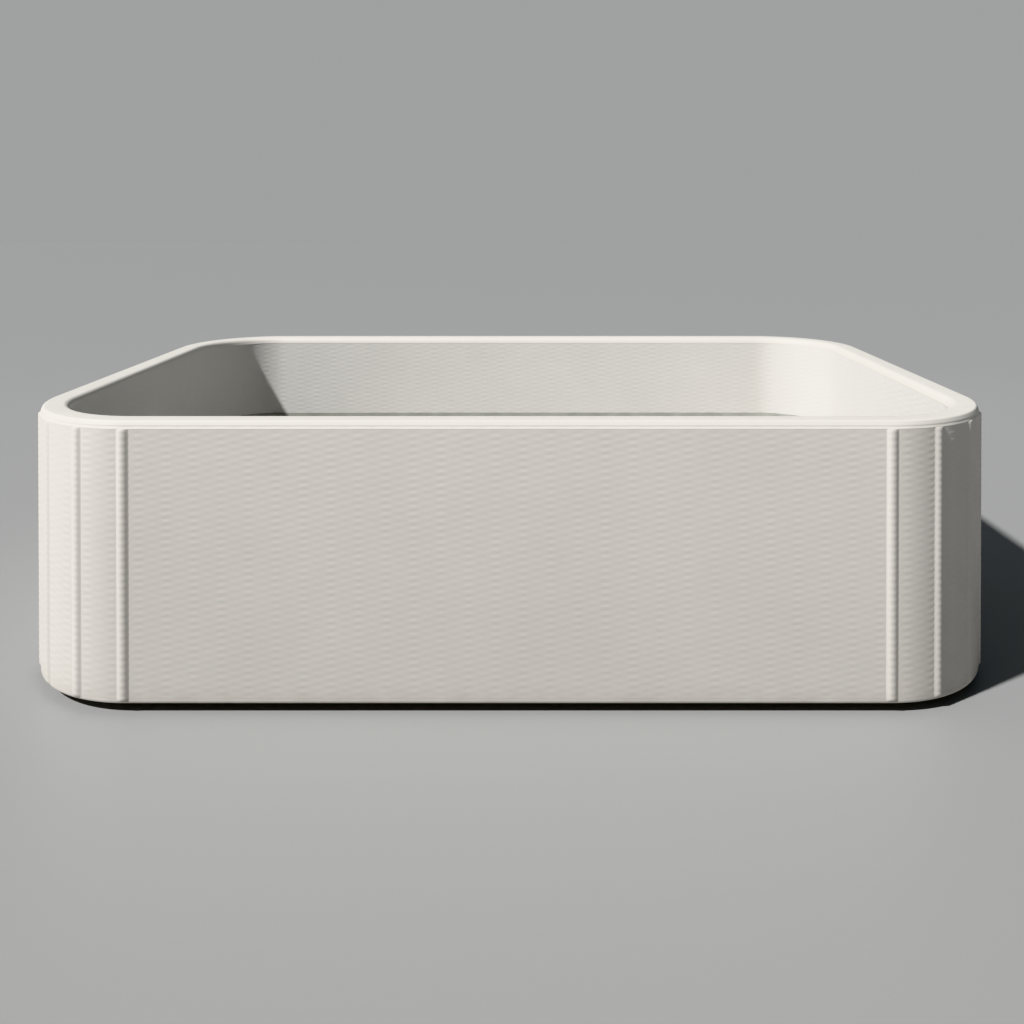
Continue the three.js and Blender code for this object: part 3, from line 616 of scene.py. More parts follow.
# Corner strips
# Low rounded welts of the same cloth over the upright seams, five round each corner.
# They are welded on flat, ribbed by the stitch rows under them, and run out under the rim.
STRIP_WIDTH = 0.036
STRIP_HEIGHT = 0.0045
STRIP_SHOULDER = 0.55
STRIPS_EACH = 5
STRIP_STEPS = 18
STRIP_RELIEF = 0.0003
STRIP_UNEVENNESS = 0.3
STRIP_FOOT = 0.004
STRIP_FOOT_SHARE = 0.5
STRIP_HEAD = 0.0015
STRIP_HEAD_SHARE = 0.7
STRIP_SINK = 0.0005
STRIP_ROUGH = (0.42, 0.54)
STRIP_WEAVE = 0.0001
STRIP_CRISP_ANGLE = 50


def corner_spot(quarter, along):
    """The centre and the way out at a length along a corner; past the corner's ends the wall is straight."""
    held = min(max(along, 0.0), WALL_RADIUS * QUARTER_TURN)
    out = heading(quarter * QUARTER_TURN + held / WALL_RADIUS)
    return corner_stations(quarter, 0, 1)[0][0] + Vector((-out.y, out.x, 0)) * (along - held), out


def welt(share):
    """The rise of a welt at a share of its half width: crowned to its shoulder, then hollow to its edge."""
    if share < STRIP_SHOULDER:
        return 1 - share * share / STRIP_SHOULDER
    return (1 - share) ** 2 / (1 - STRIP_SHOULDER)


def end_taper(from_end, length, share):
    """A strip's height near one end: a share of it at the end, all of it past a length."""
    return share + (1 - share) * ease_in(from_end / length)


strip_cloth = bone_material("strip_cloth", BONE_COLOUR, BONE_SHADE, BONE_SOIL_AND_SHADE, STRIP_ROUGH, STRIP_WEAVE)
for quarter, corner in enumerate(CORNERS):
    for i in range(STRIPS_EACH):
        node = f"corner_strip_{corner}_{i + 1}"
        strip_low, strip_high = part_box(node)
        middle = WALL_RADIUS * QUARTER_TURN * i / (STRIPS_EACH - 1)
        rows = round((strip_high.z - strip_low.z) / FACE_HEIGHT)
        points, marks = [], []
        for r in range(rows + 1):
            z = strip_low.z + (strip_high.z - strip_low.z) * r / rows
            taper = (end_taper(z - strip_low.z, STRIP_FOOT, STRIP_FOOT_SHARE)
                     * end_taper(strip_high.z - z, STRIP_HEAD, STRIP_HEAD_SHARE))
            for s in range(STRIP_STEPS + 1):
                share = 1 - 2 * s / STRIP_STEPS
                centre, out = corner_spot(quarter, middle + STRIP_WIDTH / 2 * share)
                rise = welt(abs(share))
                proud = (STRIP_HEIGHT + STRIP_SINK) * rise * taper - STRIP_SINK
                points.append(centre + out * (WALL_RADIUS + proud) + Vector((0, 0, z)))
                marks.append((0.0, z, out * rise))
        faces = capped(rows + 1, STRIP_STEPS + 1, rising=False)
        strip = new_piece(f"strip_{corner}_{i + 1}", points, faces, STRIP_CRISP_ANGLE)
        raise_relief(strip, marks, strip_cloth, relief=STRIP_RELIEF, unevenness=STRIP_UNEVENNESS,
                     angle=STRIP_CRISP_ANGLE)
        dress(strip, "tub", "strip", strip_cloth, node)


# Rim cap
# A smooth cap of thicker coated cloth that is welded over the top edge of the wall.
# Its outer side leans in over a bead, which waves slightly with the stitches below.
# Painted light: the rim's cloth is a lighter tone than the wall's, standing in for sheen and brighter light
# on the rim.
RIM_LIGHTENED_COLOUR = (0.705, 0.675, 0.622, 1.0)
RIM_LIGHTENED_SHADE = (0.685, 0.655, 0.604, 1.0)
RIM_SOIL_AND_SHADE = 0.0
RIM_ROUGH = (0.40, 0.50)
RIM_WEAVE = 0.00006
RIM_STEPS = 12
RIM_LAP = 0.0005
OUTER_ROLL = 0.006
FLANK_LEAN = 24
INNER_LEAN = 16
INNER_LEAN_TOP = 0.0074
INNER_FLANK = 20
INNER_ROLL = 0.0155
BEAD_PROUD = 0.0002
BEAD_LIFT = 0.0002
BEAD_ROUND = 0.0010
BEAD_FROM = -20
BEAD_STEPS = 6
BEAD_STILL = 2
BEAD_LEAN = 23
BEAD_TOP = 0.0052
BEAD_WAVE = 0.0002
GROOVE_LEAN = 1
GROOVE_TOP = 0.0075


def leaning(profile, lean, height, steps=3):
    """Carry a profile up to a height along a line that leans in by so many degrees."""
    r, z = profile[-1]
    rise = height - z
    return profile + [(r - math.tan(math.radians(lean)) * rise * i / steps, z + rise * i / steps)
                      for i in range(1, steps + 1)]


def up_to_roll(profile, lean, roll):
    """Carry a profile up to the roll under the rim's top; the roll's middle comes with it."""
    slope = math.radians(abs(lean))
    profile = leaning(profile, lean, rim_high.z - roll * (1 - math.sin(slope)))
    inwards = math.copysign(roll * math.cos(slope), lean)
    return profile, (profile[-1][0] - inwards, rim_high.z - roll)


rim_cloth = bone_material("rim_cloth", RIM_LIGHTENED_COLOUR, RIM_LIGHTENED_SHADE, RIM_SOIL_AND_SHADE, RIM_ROUGH, RIM_WEAVE)
bead_middle = (WALL_RADIUS + BEAD_PROUD - BEAD_ROUND, rim_low.z + BEAD_LIFT)
rim_side = arc(bead_middle, BEAD_ROUND, BEAD_FROM, BEAD_LEAN, BEAD_STEPS)
wavy_points = range(BEAD_STILL, BEAD_STILL + len(rim_side))
rim_side = leaning(rim_side, BEAD_LEAN, rim_low.z + BEAD_TOP)
rim_side = leaning(rim_side, GROOVE_LEAN, rim_low.z + GROOVE_TOP)
rim_side, roll_middle = up_to_roll(rim_side, FLANK_LEAN, OUTER_ROLL)
inner_side = leaning([(INNER_RADIUS - RIM_LAP, rim_low.z)], -INNER_LEAN, rim_low.z + INNER_LEAN_TOP)
inner_side, inner_middle = up_to_roll(inner_side, -INNER_FLANK, INNER_ROLL)
rim_profile = (
    rim_side[:-1] + arc(roll_middle, OUTER_ROLL, FLANK_LEAN, 90, RIM_STEPS)
    + arc(inner_middle, INNER_ROLL, 90, 180 - INNER_FLANK, RIM_STEPS) + inner_side[-2::-1])
rim_loop = whole_loop(WALL_RADIUS, FACE_LENGTH)
rim_cap = swept("rim_cap_cloth", rim_profile, rim_loop)
rim_marks = [(along, 0.0, out if j in wavy_points else (0, 0, 0))
             for _, out, along in rim_loop for j in range(len(rim_profile))]
raise_relief(rim_cap, rim_marks, rim_cloth, relief=BEAD_WAVE)
dress(rim_cap, "tub", "rim", rim_cloth, "rim_cap")


# Fill-level tape
# The thin dark line on the inside of the wall that shows how far to fill the tub.
# A grey-green tape, 16 mm wide and 1 mm thick, glued flat on the inner skin all the way round.
TAPE_COLOUR = (0.300, 0.300, 0.272, 1.0)
TAPE_FADED = (0.365, 0.365, 0.335, 1.0)
TAPE_THICK = 0.001
TAPE_ROUND = 0.0004
tape_low, tape_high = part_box("fill_level_tape")
TAPE_BACK = tape_high.x - CENTRE_X
TAPE_FACE = TAPE_BACK - TAPE_THICK
tape, tree, shader, where, _ = patchy(
    "tape", TAPE_COLOUR, TAPE_FADED, scale=18.0, detail=4.0, low=0.35, high=0.65)
grain = noise(tree, where, scale=1200.0, detail=1.0)
connect(tree, shader, {"Roughness": 0.5, "Normal": bump(tree, grain, strength=0.3, depth=0.0001)})
tape_profile = [
    (TAPE_BACK, tape_low.z), (TAPE_BACK, tape_high.z), (TAPE_FACE + TAPE_ROUND, tape_high.z),
    (TAPE_FACE, tape_high.z - TAPE_ROUND), (TAPE_FACE, tape_low.z + TAPE_ROUND),
    (TAPE_FACE + TAPE_ROUND, tape_low.z)]
fill_tape = swept("fill_level_line", tape_profile, whole_loop(TAPE_BACK))
dress(fill_tape, "tub", "tape", tape, "fill_level_tape")


# Floor skin
# The floor panel's upper sheet, of the same drop-stitch cloth, with its edge turned down to the wall.
# The stitch rows run across the tub, and the panel is blown up through the wall.
floor_low, floor_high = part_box("floor_top_skin")
FLOOR_RADIUS = floor_high.x - CENTRE_X
FLOOR_FACES_PER_COLUMN = 6
FLOOR_CORNER_STEPS = 26
FLOOR_SIZE = (2 * (CENTRE_Y + FLOOR_RADIUS), 2 * (CENTRE_X + FLOOR_RADIUS))
bends = [FLOOR_RADIUS * math.sin(QUARTER_TURN * i / FLOOR_CORNER_STEPS)
         for i in range(1, FLOOR_CORNER_STEPS + 1)]
flats = round(2 * CENTRE_X / COLUMN_PITCH * FLOOR_FACES_PER_COLUMN)
columns = ([-CENTRE_X - b for b in reversed(bends)]
           + [-CENTRE_X + 2 * CENTRE_X * i / flats for i in range(flats + 1)] + [CENTRE_X + b for b in bends])
rows = round(FLOOR_SIZE[0] / FACE_HEIGHT)
points, marks = [], []
for x in columns:
    past = max(0.0, abs(x) - CENTRE_X)
    reach = CENTRE_Y + math.sqrt(max(0.0, FLOOR_RADIUS ** 2 - past ** 2))
    for r in range(rows + 1):
        y = reach * (2 * r / rows - 1)
        edge = r in (0, rows) or x in (columns[0], columns[-1])
        points.append((x, y, floor_high.z))
        marks.append((x, y, (0, 0, 0 if edge else 1)))
tall = rows + 1
last = (len(columns) - 1) * tall
rim_of_floor = [*range(0, last, tall), *range(last, last + rows),
                *range(last + rows, rows, -tall), *range(rows, 0, -1)]
under, count = len(points), len(rim_of_floor)
for i in rim_of_floor:
    points.append((points[i][0], points[i][1], floor_high.z - SKIN_THICKNESS))
    marks.append((points[i][0], points[i][1], (0, 0, 0)))
faces = grid(len(columns), tall)
for i in range(count):
    k = (i + 1) % count
    faces.append((rim_of_floor[i], under + i, under + k, rim_of_floor[k]))
faces.append(tuple(reversed(range(under, under + count))))
floor_sheet = new_piece("floor_skin_top", points, faces)
# Painted shade: the floor takes the inner sheet's cooler copy of the cloth's colour.
raise_relief(floor_sheet, marks, inner_cloth, sharpness=STITCH_SHARPNESS, weak=WEAK_SHARE)
dress(floor_sheet, "tub", "skin", inner_cloth, "floor_top_skin")
skirt_top = floor_high.z - SKIN_THICKNESS
skirt_in = FLOOR_RADIUS - SKIN_THICKNESS
skirt_profile = [
    (skirt_in, floor_low.z), (FLOOR_RADIUS, floor_low.z), (FLOOR_RADIUS, skirt_top), (skirt_in, skirt_top)]
floor_skirt = swept("floor_skin_edge", skirt_profile, whole_loop(FLOOR_RADIUS))
dress(floor_skirt, "tub", "skin", inner_cloth, "floor_top_skin")


# Thread webs
# Rows of polyester drop threads woven into a cloth, inside the wall and inside the floor panel.
# They keep the two skins parallel under air pressure; none of them shows while the tub is whole.
THREAD_COLOUR = (0.700, 0.680, 0.640, 1.0)
THREAD_SHADE = (0.560, 0.540, 0.500, 1.0)


def paint(material, *nodes):
    """Give CAD nodes that stay as they are their finished material."""
    for name in nodes:
        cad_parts[name].data.materials.clear()
        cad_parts[name].data.materials.append(material)


thread, tree, shader = new_material("drop_thread")
strands = place(tree, "ShaderNodeTexWave", {"Vector": object_space(tree), "Scale": 160.0, "Distortion": 1.5})
connect(tree, shader, {
    "Base Color": blend(tree, strands.outputs["Fac"], THREAD_SHADE, THREAD_COLOUR), "Roughness": 0.9})
paint(thread, "floor_thread_web", *[f"thread_web_{side}" for side in SIDES],
      *[f"thread_web_{corner}_{half}" for corner in CORNERS for half in (1, 2)])


# Floor bottom skin
# The floor panel's lower sheet, of the same coated cloth, flat on the ground pad.
# It is welded to the turned-down edge of the upper sheet.
paint(skin_cloth, "floor_bottom_skin")


# Valve gasket
# A flat ring of black rubber between the valve's flange and the outer skin.
# It is punched from sheet, and the back nut squeezes it.
RUBBER_COLOUR = (0.012, 0.012, 0.013, 1.0)
RUBBER_DUSTY = (0.030, 0.030, 0.030, 1.0)
ROUND_SIDES = 72
FINE_EASE = 0.0004
VALVE_ORIGIN = (VALVE_AXIS[0], 0, VALVE_AXIS[1])
DRAIN_ORIGIN = (DRAIN_AXIS[0], 0, DRAIN_AXIS[1])


def eased(corners, steps=3):
    """A profile of (radius, along), with a short curve at each corner that has an easing as third value."""
    made = []
    for i, (r, a, *ease) in enumerate(corners):
        here = Vector((r, a))
        if not ease:
            made.append((r, a))
            continue
        before = (Vector(corners[i - 1][:2]) - here).normalized() * ease[0] + here
        after = (Vector(corners[(i + 1) % len(corners)][:2]) - here).normalized() * ease[0] + here
        for k in range(steps + 1):
            spot = before.lerp(here, k / steps).lerp(here.lerp(after, k / steps), k / steps)
            made.append((spot.x, spot.y))
    return made


def round_spot(axis, r, a, angle):
    """The point at a radius, a length along an axis and an angle round it."""
    across, up = r * math.cos(angle), r * math.sin(angle)
    return Vector({"x": (a, -across, up), "y": (across, a, up), "z": (across, -up, a)}[axis])


def turned(name, axis, origin, corners, sides=ROUND_SIDES, limit=None):
    """An eased profile turned about an axis: a ring, or a solid if it starts on the axis; with its spots."""
    profile = eased(corners)
    points, columns, spots = [], [], []
    for r, a in profile:
        column = []
        for i in range(sides if r else 1):
            angle = TURN * i / sides
            reach = min(r, limit(angle)) if limit else r
            column.append(len(points))
            points.append(Vector(origin) + round_spot(axis, reach, a, angle))
            spots.append((r, a, angle))
        columns.append(column if r else column * sides)
    faces = []
    for j in range(len(columns) if profile[0][0] else len(columns) - 1):
        near, far = columns[j], columns[(j + 1) % len(columns)]
        for i in range(sides):
            k = (i + 1) % sides
            faces.append(tuple(dict.fromkeys((near[i], far[i], far[k], near[k]))))
    return new_piece(name, points, faces), spots


def flat_seal(name, origin, node, inner):
    """A thin rubber ring along Y in a CAD node's place, with its edges eased."""
    low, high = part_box(node)
    outer = (high.x - low.x) / 2
    corners = [(inner, low.y), (outer, low.y, FINE_EASE), (outer, high.y, FINE_EASE), (inner, high.y)]
    seal, _ = turned(name, "y", origin, eased(corners, steps=2))
    dress(seal, "tub", "seal", rubber, node)


rubber, tree, shader, _, _ = patchy(
    "rubber", RUBBER_COLOUR, RUBBER_DUSTY, scale=60.0, detail=4.0, low=0.4, high=0.75)
connect(tree, shader, {"Roughness": 0.7})
flat_seal("valve_seal", VALVE_ORIGIN, "valve_gasket", VALVE_HOLE)


# Valve back nut
# The ring nut inside the wall that pulls the valve's flange against the outer skin.
# Moulded dark plastic on the barrel's thread; it is closed in by the wall.
PLASTIC_COLOUR = (0.085, 0.088, 0.092, 1.0)
PLASTIC_RUBBED = (0.130, 0.133, 0.136, 1.0)


def moulded_material(name, colour, rubbed):
    """Moulded plastic with a spark-eroded grain and slightly rubbed patches."""
    material, tree, shader, where, mask = patchy(
        name, colour, rubbed, scale=45.0, detail=4.0, low=0.42, high=0.72)
    grain = noise(tree, where, scale=1500.0, detail=2.0)
    connect(tree, shader, {"Roughness": spread(tree, mask, first=0.48, last=0.36),
                           "Normal": bump(tree, grain, strength=0.25, depth=0.0001)})
    return material


plastic = moulded_material("moulded_plastic", PLASTIC_COLOUR, PLASTIC_RUBBED)
paint(plastic, "valve_back_nut")


# Valve body
# The inflation valve's barrel through the outer skin, with a flange outside and a stem guide inside.
# Moulded dark plastic; the air passes through five holes in the guide.
VALVE_BORE = 0.013
VALVE_BARREL = 0.019
VALVE_FLANGE = (valve_high.x - valve_low.x) / 2
VALVE_FLANGE_THICK = 0.004
STEM_HOLE = 0.0033
GUIDE_DEPTH = 0.028
GUIDE_THICK = 0.004
GUIDE_HOLES = 5
GUIDE_HOLE = 0.0025
GUIDE_HOLE_SIDES = 20
EASE = 0.0012


def combine(piece, operation, *others):
    """Cut other solids out of a piece, or join them to it; the others are used up."""
    for other in others:
        add_boolean(piece, operation, other)
    settle(piece)
    for other in others:
        bpy.data.objects.remove(other)
    smooth(piece.data)


guide_top = valve_high.y - GUIDE_DEPTH
guide_under = guide_top - GUIDE_THICK
flange_under = valve_high.y - VALVE_FLANGE_THICK
valve_body, _ = turned("valve_housing", "y", VALVE_ORIGIN, [
    (STEM_HOLE, guide_under), (VALVE_BORE, guide_under), (VALVE_BORE, valve_low.y),
    (VALVE_BARREL, valve_low.y), (VALVE_BARREL, flange_under), (VALVE_FLANGE, flange_under),
    (VALVE_FLANGE, valve_high.y, EASE), (VALVE_BORE, valve_high.y, EASE / 2), (VALVE_BORE, guide_top),
    (STEM_HOLE, guide_top)])
air_holes = []
for i in range(GUIDE_HOLES):
    spot = heading(TURN * i / GUIDE_HOLES) * (STEM_HOLE + VALVE_BORE) / 2
    air_holes.append(hole_cutter(
        f"air_hole_{i}", VALVE_AXIS[0] + spot.x, VALVE_AXIS[1] + spot.y, GUIDE_HOLE,
        guide_under - GUIDE_THICK, guide_top + GUIDE_THICK, GUIDE_HOLE_SIDES))
combine(valve_body, "DIFFERENCE", *air_holes)
dress(valve_body, "tub", "fitting", plastic, "valve_body")


# Valve poppet
# The disc that shuts the barrel's inner end, on a stem whose head is the button in the valve's mouth.
# One moulded piece; it slides in the guide when the button is pressed.
poppet_low, poppet_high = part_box("valve_poppet")
POPPET = (poppet_high.x - poppet_low.x) / 2
POPPET_THICK = 0.003
POPPET_EASE = 0.0006
STEM = 0.003
STEM_SIDES = 48
STEM_HEAD = 0.0065
STEM_HEAD_THICK = 0.004
head_under = poppet_high.y - STEM_HEAD_THICK
disc_top = poppet_low.y + POPPET_THICK
poppet, _ = turned("valve_button", "y", VALVE_ORIGIN, [
    (0, poppet_low.y), (POPPET, poppet_low.y, POPPET_EASE), (POPPET, disc_top, POPPET_EASE), (STEM, disc_top),
    (STEM, head_under), (STEM_HEAD, head_under, FINE_EASE), (STEM_HEAD, poppet_high.y, EASE),
    (0, poppet_high.y)], STEM_SIDES)
dress(poppet, "valve_poppet", "fitting", plastic, "valve_poppet")


# Valve spring
# A coil of stainless wire round the stem, between the guide and the button's head.
# It is drawn along a helix, and gets shorter as the button is pressed.
STEEL_COLOUR = (0.500, 0.510, 0.520, 1.0)
STEEL_DULL = (0.380, 0.385, 0.390, 1.0)
STEEL_STREAKS = (900.0, 60.0, 900.0)
SPRING_RADIUS = 0.005
SPRING_TURNS = 6
SPRING_WIRE = 0.0005
SPRING_STEPS = 24
WIRE_SIDES = 8
WIRE_CRISP_ANGLE = 60
spring_low, spring_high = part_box("valve_spring")


def coil_tree():
    """A wire along a helix about Y."""
    sizes = ("Coil Radius", "Wire Radius", "Turns", "Length")
    tree, given = new_tree(
        "wire_coil", "GeometryNodeTree",
        {"Geometry": "Geometry", **dict.fromkeys(sizes, "Float"), "Start": "Vector", "Material": "Material"},
        {"Geometry": "Geometry"})
    helix = place(tree, "GeometryNodeCurveSpiral", {
        "Resolution": SPRING_STEPS, "Rotations": given["Turns"], "Start Radius": given["Coil Radius"],
        "End Radius": given["Coil Radius"], "Height": given["Length"]})
    circle = place(tree, "GeometryNodeCurvePrimitiveCircle", {
        "Resolution": WIRE_SIDES, "Radius": given["Wire Radius"]})
    wire = place(tree, "GeometryNodeCurveToMesh", {
        "Curve": helix.outputs["Curve"], "Profile Curve": circle.outputs["Curve"], "Fill Caps": True})
    laid = place(tree, "GeometryNodeTransform", {
        "Geometry": wire.outputs["Mesh"], "Translation": given["Start"], "Rotation": (-QUARTER_TURN, 0, 0)})
    hand_out(tree, laid.outputs["Geometry"], given["Material"])
    return tree


steel, tree, shader = new_material("satin_steel")
drawn = place(tree, "ShaderNodeVectorMath", {0: object_space(tree), 1: STEEL_STREAKS}, operation="MULTIPLY")
streaks = noise(tree, drawn.outputs[0], scale=1.0, detail=3.0)
connect(tree, shader, {"Base Color": blend(tree, streaks, STEEL_DULL, STEEL_COLOUR), "Metallic": 1.0,
                       "Roughness": spread(tree, streaks, first=0.25, last=0.42)})
spring = new_piece("valve_coil", [], [])
coil_start = spring_low.y + SPRING_WIRE
shape_by_tree(spring, coil_tree(), {
    "Coil Radius": SPRING_RADIUS, "Wire Radius": SPRING_WIRE, "Turns": SPRING_TURNS,
    "Length": spring_high.y - SPRING_WIRE - coil_start, "Start": (VALVE_AXIS[0], coil_start, VALVE_AXIS[1]),
    "Material": steel}, WIRE_CRISP_ANGLE)
dress(spring, "tub", "steel", steel, "valve_spring")
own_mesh(spring)


# Valve cap
# The cap that is screwed over the valve's mouth: a plug, a ribbed disc and a grip bar across it.
# One moulded piece of dark plastic, pulled straight off for inflating.
FIT_GAP = 0.0003
CAP_THICK = 0.004
PLUG_RADIUS = 0.0127
PLUG_WALL = 0.0025
GRIP_LENGTH = 0.040
GRIP_WIDTH = 0.007
GRIP_EASE = 0.0018
GRIP_STEPS = 6
CAP_RIBS = 36
CAP_SIDES = 4 * CAP_RIBS
RIB_DEPTH = 0.0004
RIB_START = 0.0002
SAME_RADIUS = 1e-6
valve_cap_low, valve_cap_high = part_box("valve_cap")
CAP_RADIUS = (valve_cap_high.x - valve_cap_low.x) / 2


def raise_waves(piece, spots, wall, low, high, depth, round_it=0, along_it=0.0):
    """Raise waves on a turned piece's outer wall: so many round it, and so many to the metre along it."""
    marks = []
    for r, a, angle in spots:
        on_wall = r > wall - SAME_RADIUS and low < a < high
        out = round_spot("y", 1, 0, angle) if on_wall else (0, 0, 0)
        marks.append((a * along_it + angle * round_it / TURN, 0.0, out))
    raise_relief(piece, marks, plastic, column=1.0, row=1.0, relief=depth, unevenness=0.0)


def stadium(half_length, half_width, steps):
    """Outline of a bar with round ends, anticlockwise: (x, y, outward x, outward y)."""
    outline = []
    for side in (1, -1):
        for i in range(steps + 1):
            out = heading(math.pi * (i / steps - side / 2))
            spot = out * half_width
            outline.append((side * (half_length - half_width) + spot.x, spot.y, out.x, out.y))
    return outline


def bar(name, outline, levels, along, across, up, origin):
    """A bar from an outline, in levels of (height, inset), set by its three directions."""
    points = []
    for height, inset in levels:
        for x, y, out_x, out_y in outline:
            level = Vector(along) * (x - out_x * inset) + Vector(across) * (y - out_y * inset)
            points.append(Vector(origin) + level + Vector(up) * height)
    return new_piece(name, points, capped(len(levels), len(outline)))


def soft_levels(low, high, ease, soft_foot=False, steps=3):
    """Levels of a bar whose upper edge is rounded, and its lower edge too if it has a soft foot."""
    turns = [QUARTER_TURN * i / steps for i in range(steps + 1)]
    foot = [(low + ease * (1 - math.cos(t)), ease * (1 - math.sin(t))) for t in turns]
    head = [(high - ease * (1 - math.sin(t)), ease * (1 - math.cos(t))) for t in turns]
    return (foot if soft_foot else [(low, 0.0)]) + head


cap_under = valve_high.y + FIT_GAP
cap_rim = cap_under + CAP_THICK
plug_bore = PLUG_RADIUS - PLUG_WALL
valve_cap, spots = turned("valve_lid", "y", VALVE_ORIGIN, [
    (0, cap_under), (plug_bore, cap_under), (plug_bore, valve_cap_low.y, FINE_EASE),
    (PLUG_RADIUS, valve_cap_low.y, FINE_EASE), (PLUG_RADIUS, cap_under), (CAP_RADIUS, cap_under, FINE_EASE),
    (CAP_RADIUS, cap_rim, EASE), (0, cap_rim)], CAP_SIDES)
raise_waves(valve_cap, spots, CAP_RADIUS, cap_under + RIB_START, cap_rim, RIB_DEPTH, round_it=CAP_RIBS)
grip = bar("valve_grip", stadium(GRIP_LENGTH / 2, GRIP_WIDTH / 2, GRIP_STEPS),
           soft_levels(cap_under + CAP_THICK / 2, valve_cap_high.y, GRIP_EASE),
           (1, 0, 0), (0, 0, -1), (0, 1, 0), VALVE_ORIGIN)
combine(valve_cap, "UNION", grip)
dress(valve_cap, "valve_cap", "fitting", plastic, "valve_cap")


# Drain gasket
# The rubber ring between the drain tube's flange and the inner skin.
# It is squeezed by the nut on the outside of the wall.
flat_seal("drain_seal", DRAIN_ORIGIN, "drain_gasket", DRAIN_HOLE)


# Drain tube
# The threaded tube through the wall, with a flange against the inner skin.
# Moulded dark plastic; the ball valve is screwed on its outer end.
DRAIN_BORE = 0.013
DRAIN_TUBE = 0.017
DRAIN_FLANGE = (tube_high.x - tube_low.x) / 2
DRAIN_FLANGE_THICK = 0.004
flange_out = tube_low.y + DRAIN_FLANGE_THICK
drain_tube, _ = turned("drain_pipe", "y", DRAIN_ORIGIN, [
    (DRAIN_BORE, tube_low.y), (DRAIN_FLANGE, tube_low.y, EASE), (DRAIN_FLANGE, flange_out),
    (DRAIN_TUBE, flange_out), (DRAIN_TUBE, tube_high.y), (DRAIN_BORE, tube_high.y)])
dress(drain_tube, "tub", "fitting", plastic, "drain_tube")


# Drain strainer
# A slotted disc over the drain's mouth inside the tub, with a ring that snaps into the bore.
# Moulded dark plastic, rounded at its edge.
strainer_low, strainer_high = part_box("drain_strainer")
STRAINER = (strainer_high.x - strainer_low.x) / 2
STRAINER_THICK = 0.003
STRAINER_ROUND = 0.002
STRAINER_SKIRT = 0.0127
STRAINER_BORE = 0.0107
LIP_EASE = 0.0003
SLOT_WIDTH = 0.003
SLOT_PITCH = 0.0043
SLOTS = 5
strainer_out = strainer_low.y + STRAINER_THICK
strainer, _ = turned("drain_grid", "y", DRAIN_ORIGIN, [
    (0, strainer_low.y), (STRAINER, strainer_low.y, STRAINER_ROUND), (STRAINER, strainer_out),
    (STRAINER_SKIRT, strainer_out), (STRAINER_SKIRT, strainer_high.y, LIP_EASE),
    (STRAINER_BORE, strainer_high.y, LIP_EASE), (STRAINER_BORE, strainer_out), (0, strainer_out)])
slot_levels = [(strainer_low.y - CUT_PAST, 0), (strainer_out + STRAINER_THICK, 0)]
slots = []
for i in range(SLOTS):
    aside = (i - (SLOTS - 1) / 2) * SLOT_PITCH
    reach = math.sqrt(STRAINER_BORE ** 2 - (abs(aside) + SLOT_WIDTH / 2) ** 2)
    slots.append(bar(f"slot_{i}", stadium(reach, SLOT_WIDTH / 2, GRIP_STEPS), slot_levels,
                     (0, 0, 1), (1, 0, 0), (0, 1, 0), (DRAIN_AXIS[0] + aside, 0, DRAIN_AXIS[1])))
combine(strainer, "DIFFERENCE", *slots)
dress(strainer, "tub", "fitting", plastic, "drain_strainer")


# Drain sleeve
# The short pipe that carries the drain through the wall's air chamber.
# Coated cloth over a stiff liner, welded to both skins; it is closed in by the wall.
paint(skin_cloth, "drain_sleeve")


# Drain washer
# The rubber ring under the nut on the outside of the wall.
# It spreads the nut's pull over the outer skin.
flat_seal("drain_packing", DRAIN_ORIGIN, "drain_washer", DRAIN_HOLE)


# Drain nut
# The hexagon nut that clamps the drain tube to the wall.
# Moulded dark plastic with chamfered corners.
NUT_CHAMFER = 0.0022
NUT_FACE_SHARE = 0.9
NUT_SIDE_SHARE = 1.01
nut_low, nut_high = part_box("drain_nut")
NUT = nut_high.z - nut_low.z


def hexagon(across_corners):
    """The reach of a hexagon's side at each angle, with a corner at 90 degrees."""
    flat = across_corners / 2 * math.cos(math.pi / 6)
    return lambda angle: flat / math.cos((angle + math.pi / 6) % (math.pi / 3) - math.pi / 6)


def nut_profile(hole, reach, low, high, chamfer):
    """A nut's profile; its limit makes the flats, and the chamfer takes off the corners."""
    face, side = NUT_FACE_SHARE * reach, NUT_SIDE_SHARE * reach
    return [(hole, low), (face, low), (side, low + chamfer),
            (side, high - chamfer), (face, high), (hole, high)]


drain_nut, _ = turned("drain_locknut", "y", DRAIN_ORIGIN, nut_profile(
    DRAIN_HOLE, NUT / 2, nut_low.y, nut_high.y, NUT_CHAMFER), ROUND_SIDES, hexagon(NUT))
dress(drain_nut, "tub", "fitting", plastic, "drain_nut")


# Drain valve body
# The ball valve's housing: a socket on the tube, a round chamber, the stem's boss and the hose spigot.
# Moulded dark plastic with a raised collar at each end; the spigot is threaded for the cap.
housing_low, housing_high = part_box("drain_valve_body")
ball_low, ball_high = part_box("drain_ball")
HOUSING = (housing_high.x - housing_low.x) / 2
BALL_Y = (ball_low.y + ball_high.y) / 2
STEM_AXIS = (DRAIN_AXIS[0], BALL_Y, 0)
CAVITY = 0.0193
CAVITY_STEPS = 16
SPIGOT_LENGTH = 0.022
STEM_BOSS = 0.009
STEM_BORE = 0.0048
BOSS_START = 0.003
COLLAR = 0.007
COLLAR_INSET = 0.0012
COLLAR_EASE = 0.0008
THREAD_PITCH = 0.003
THREAD_DEPTH = 0.0003
THREAD_STEPS = 8
THREAD_FROM_ROOT = 0.002
THREAD_FROM_END = 0.001


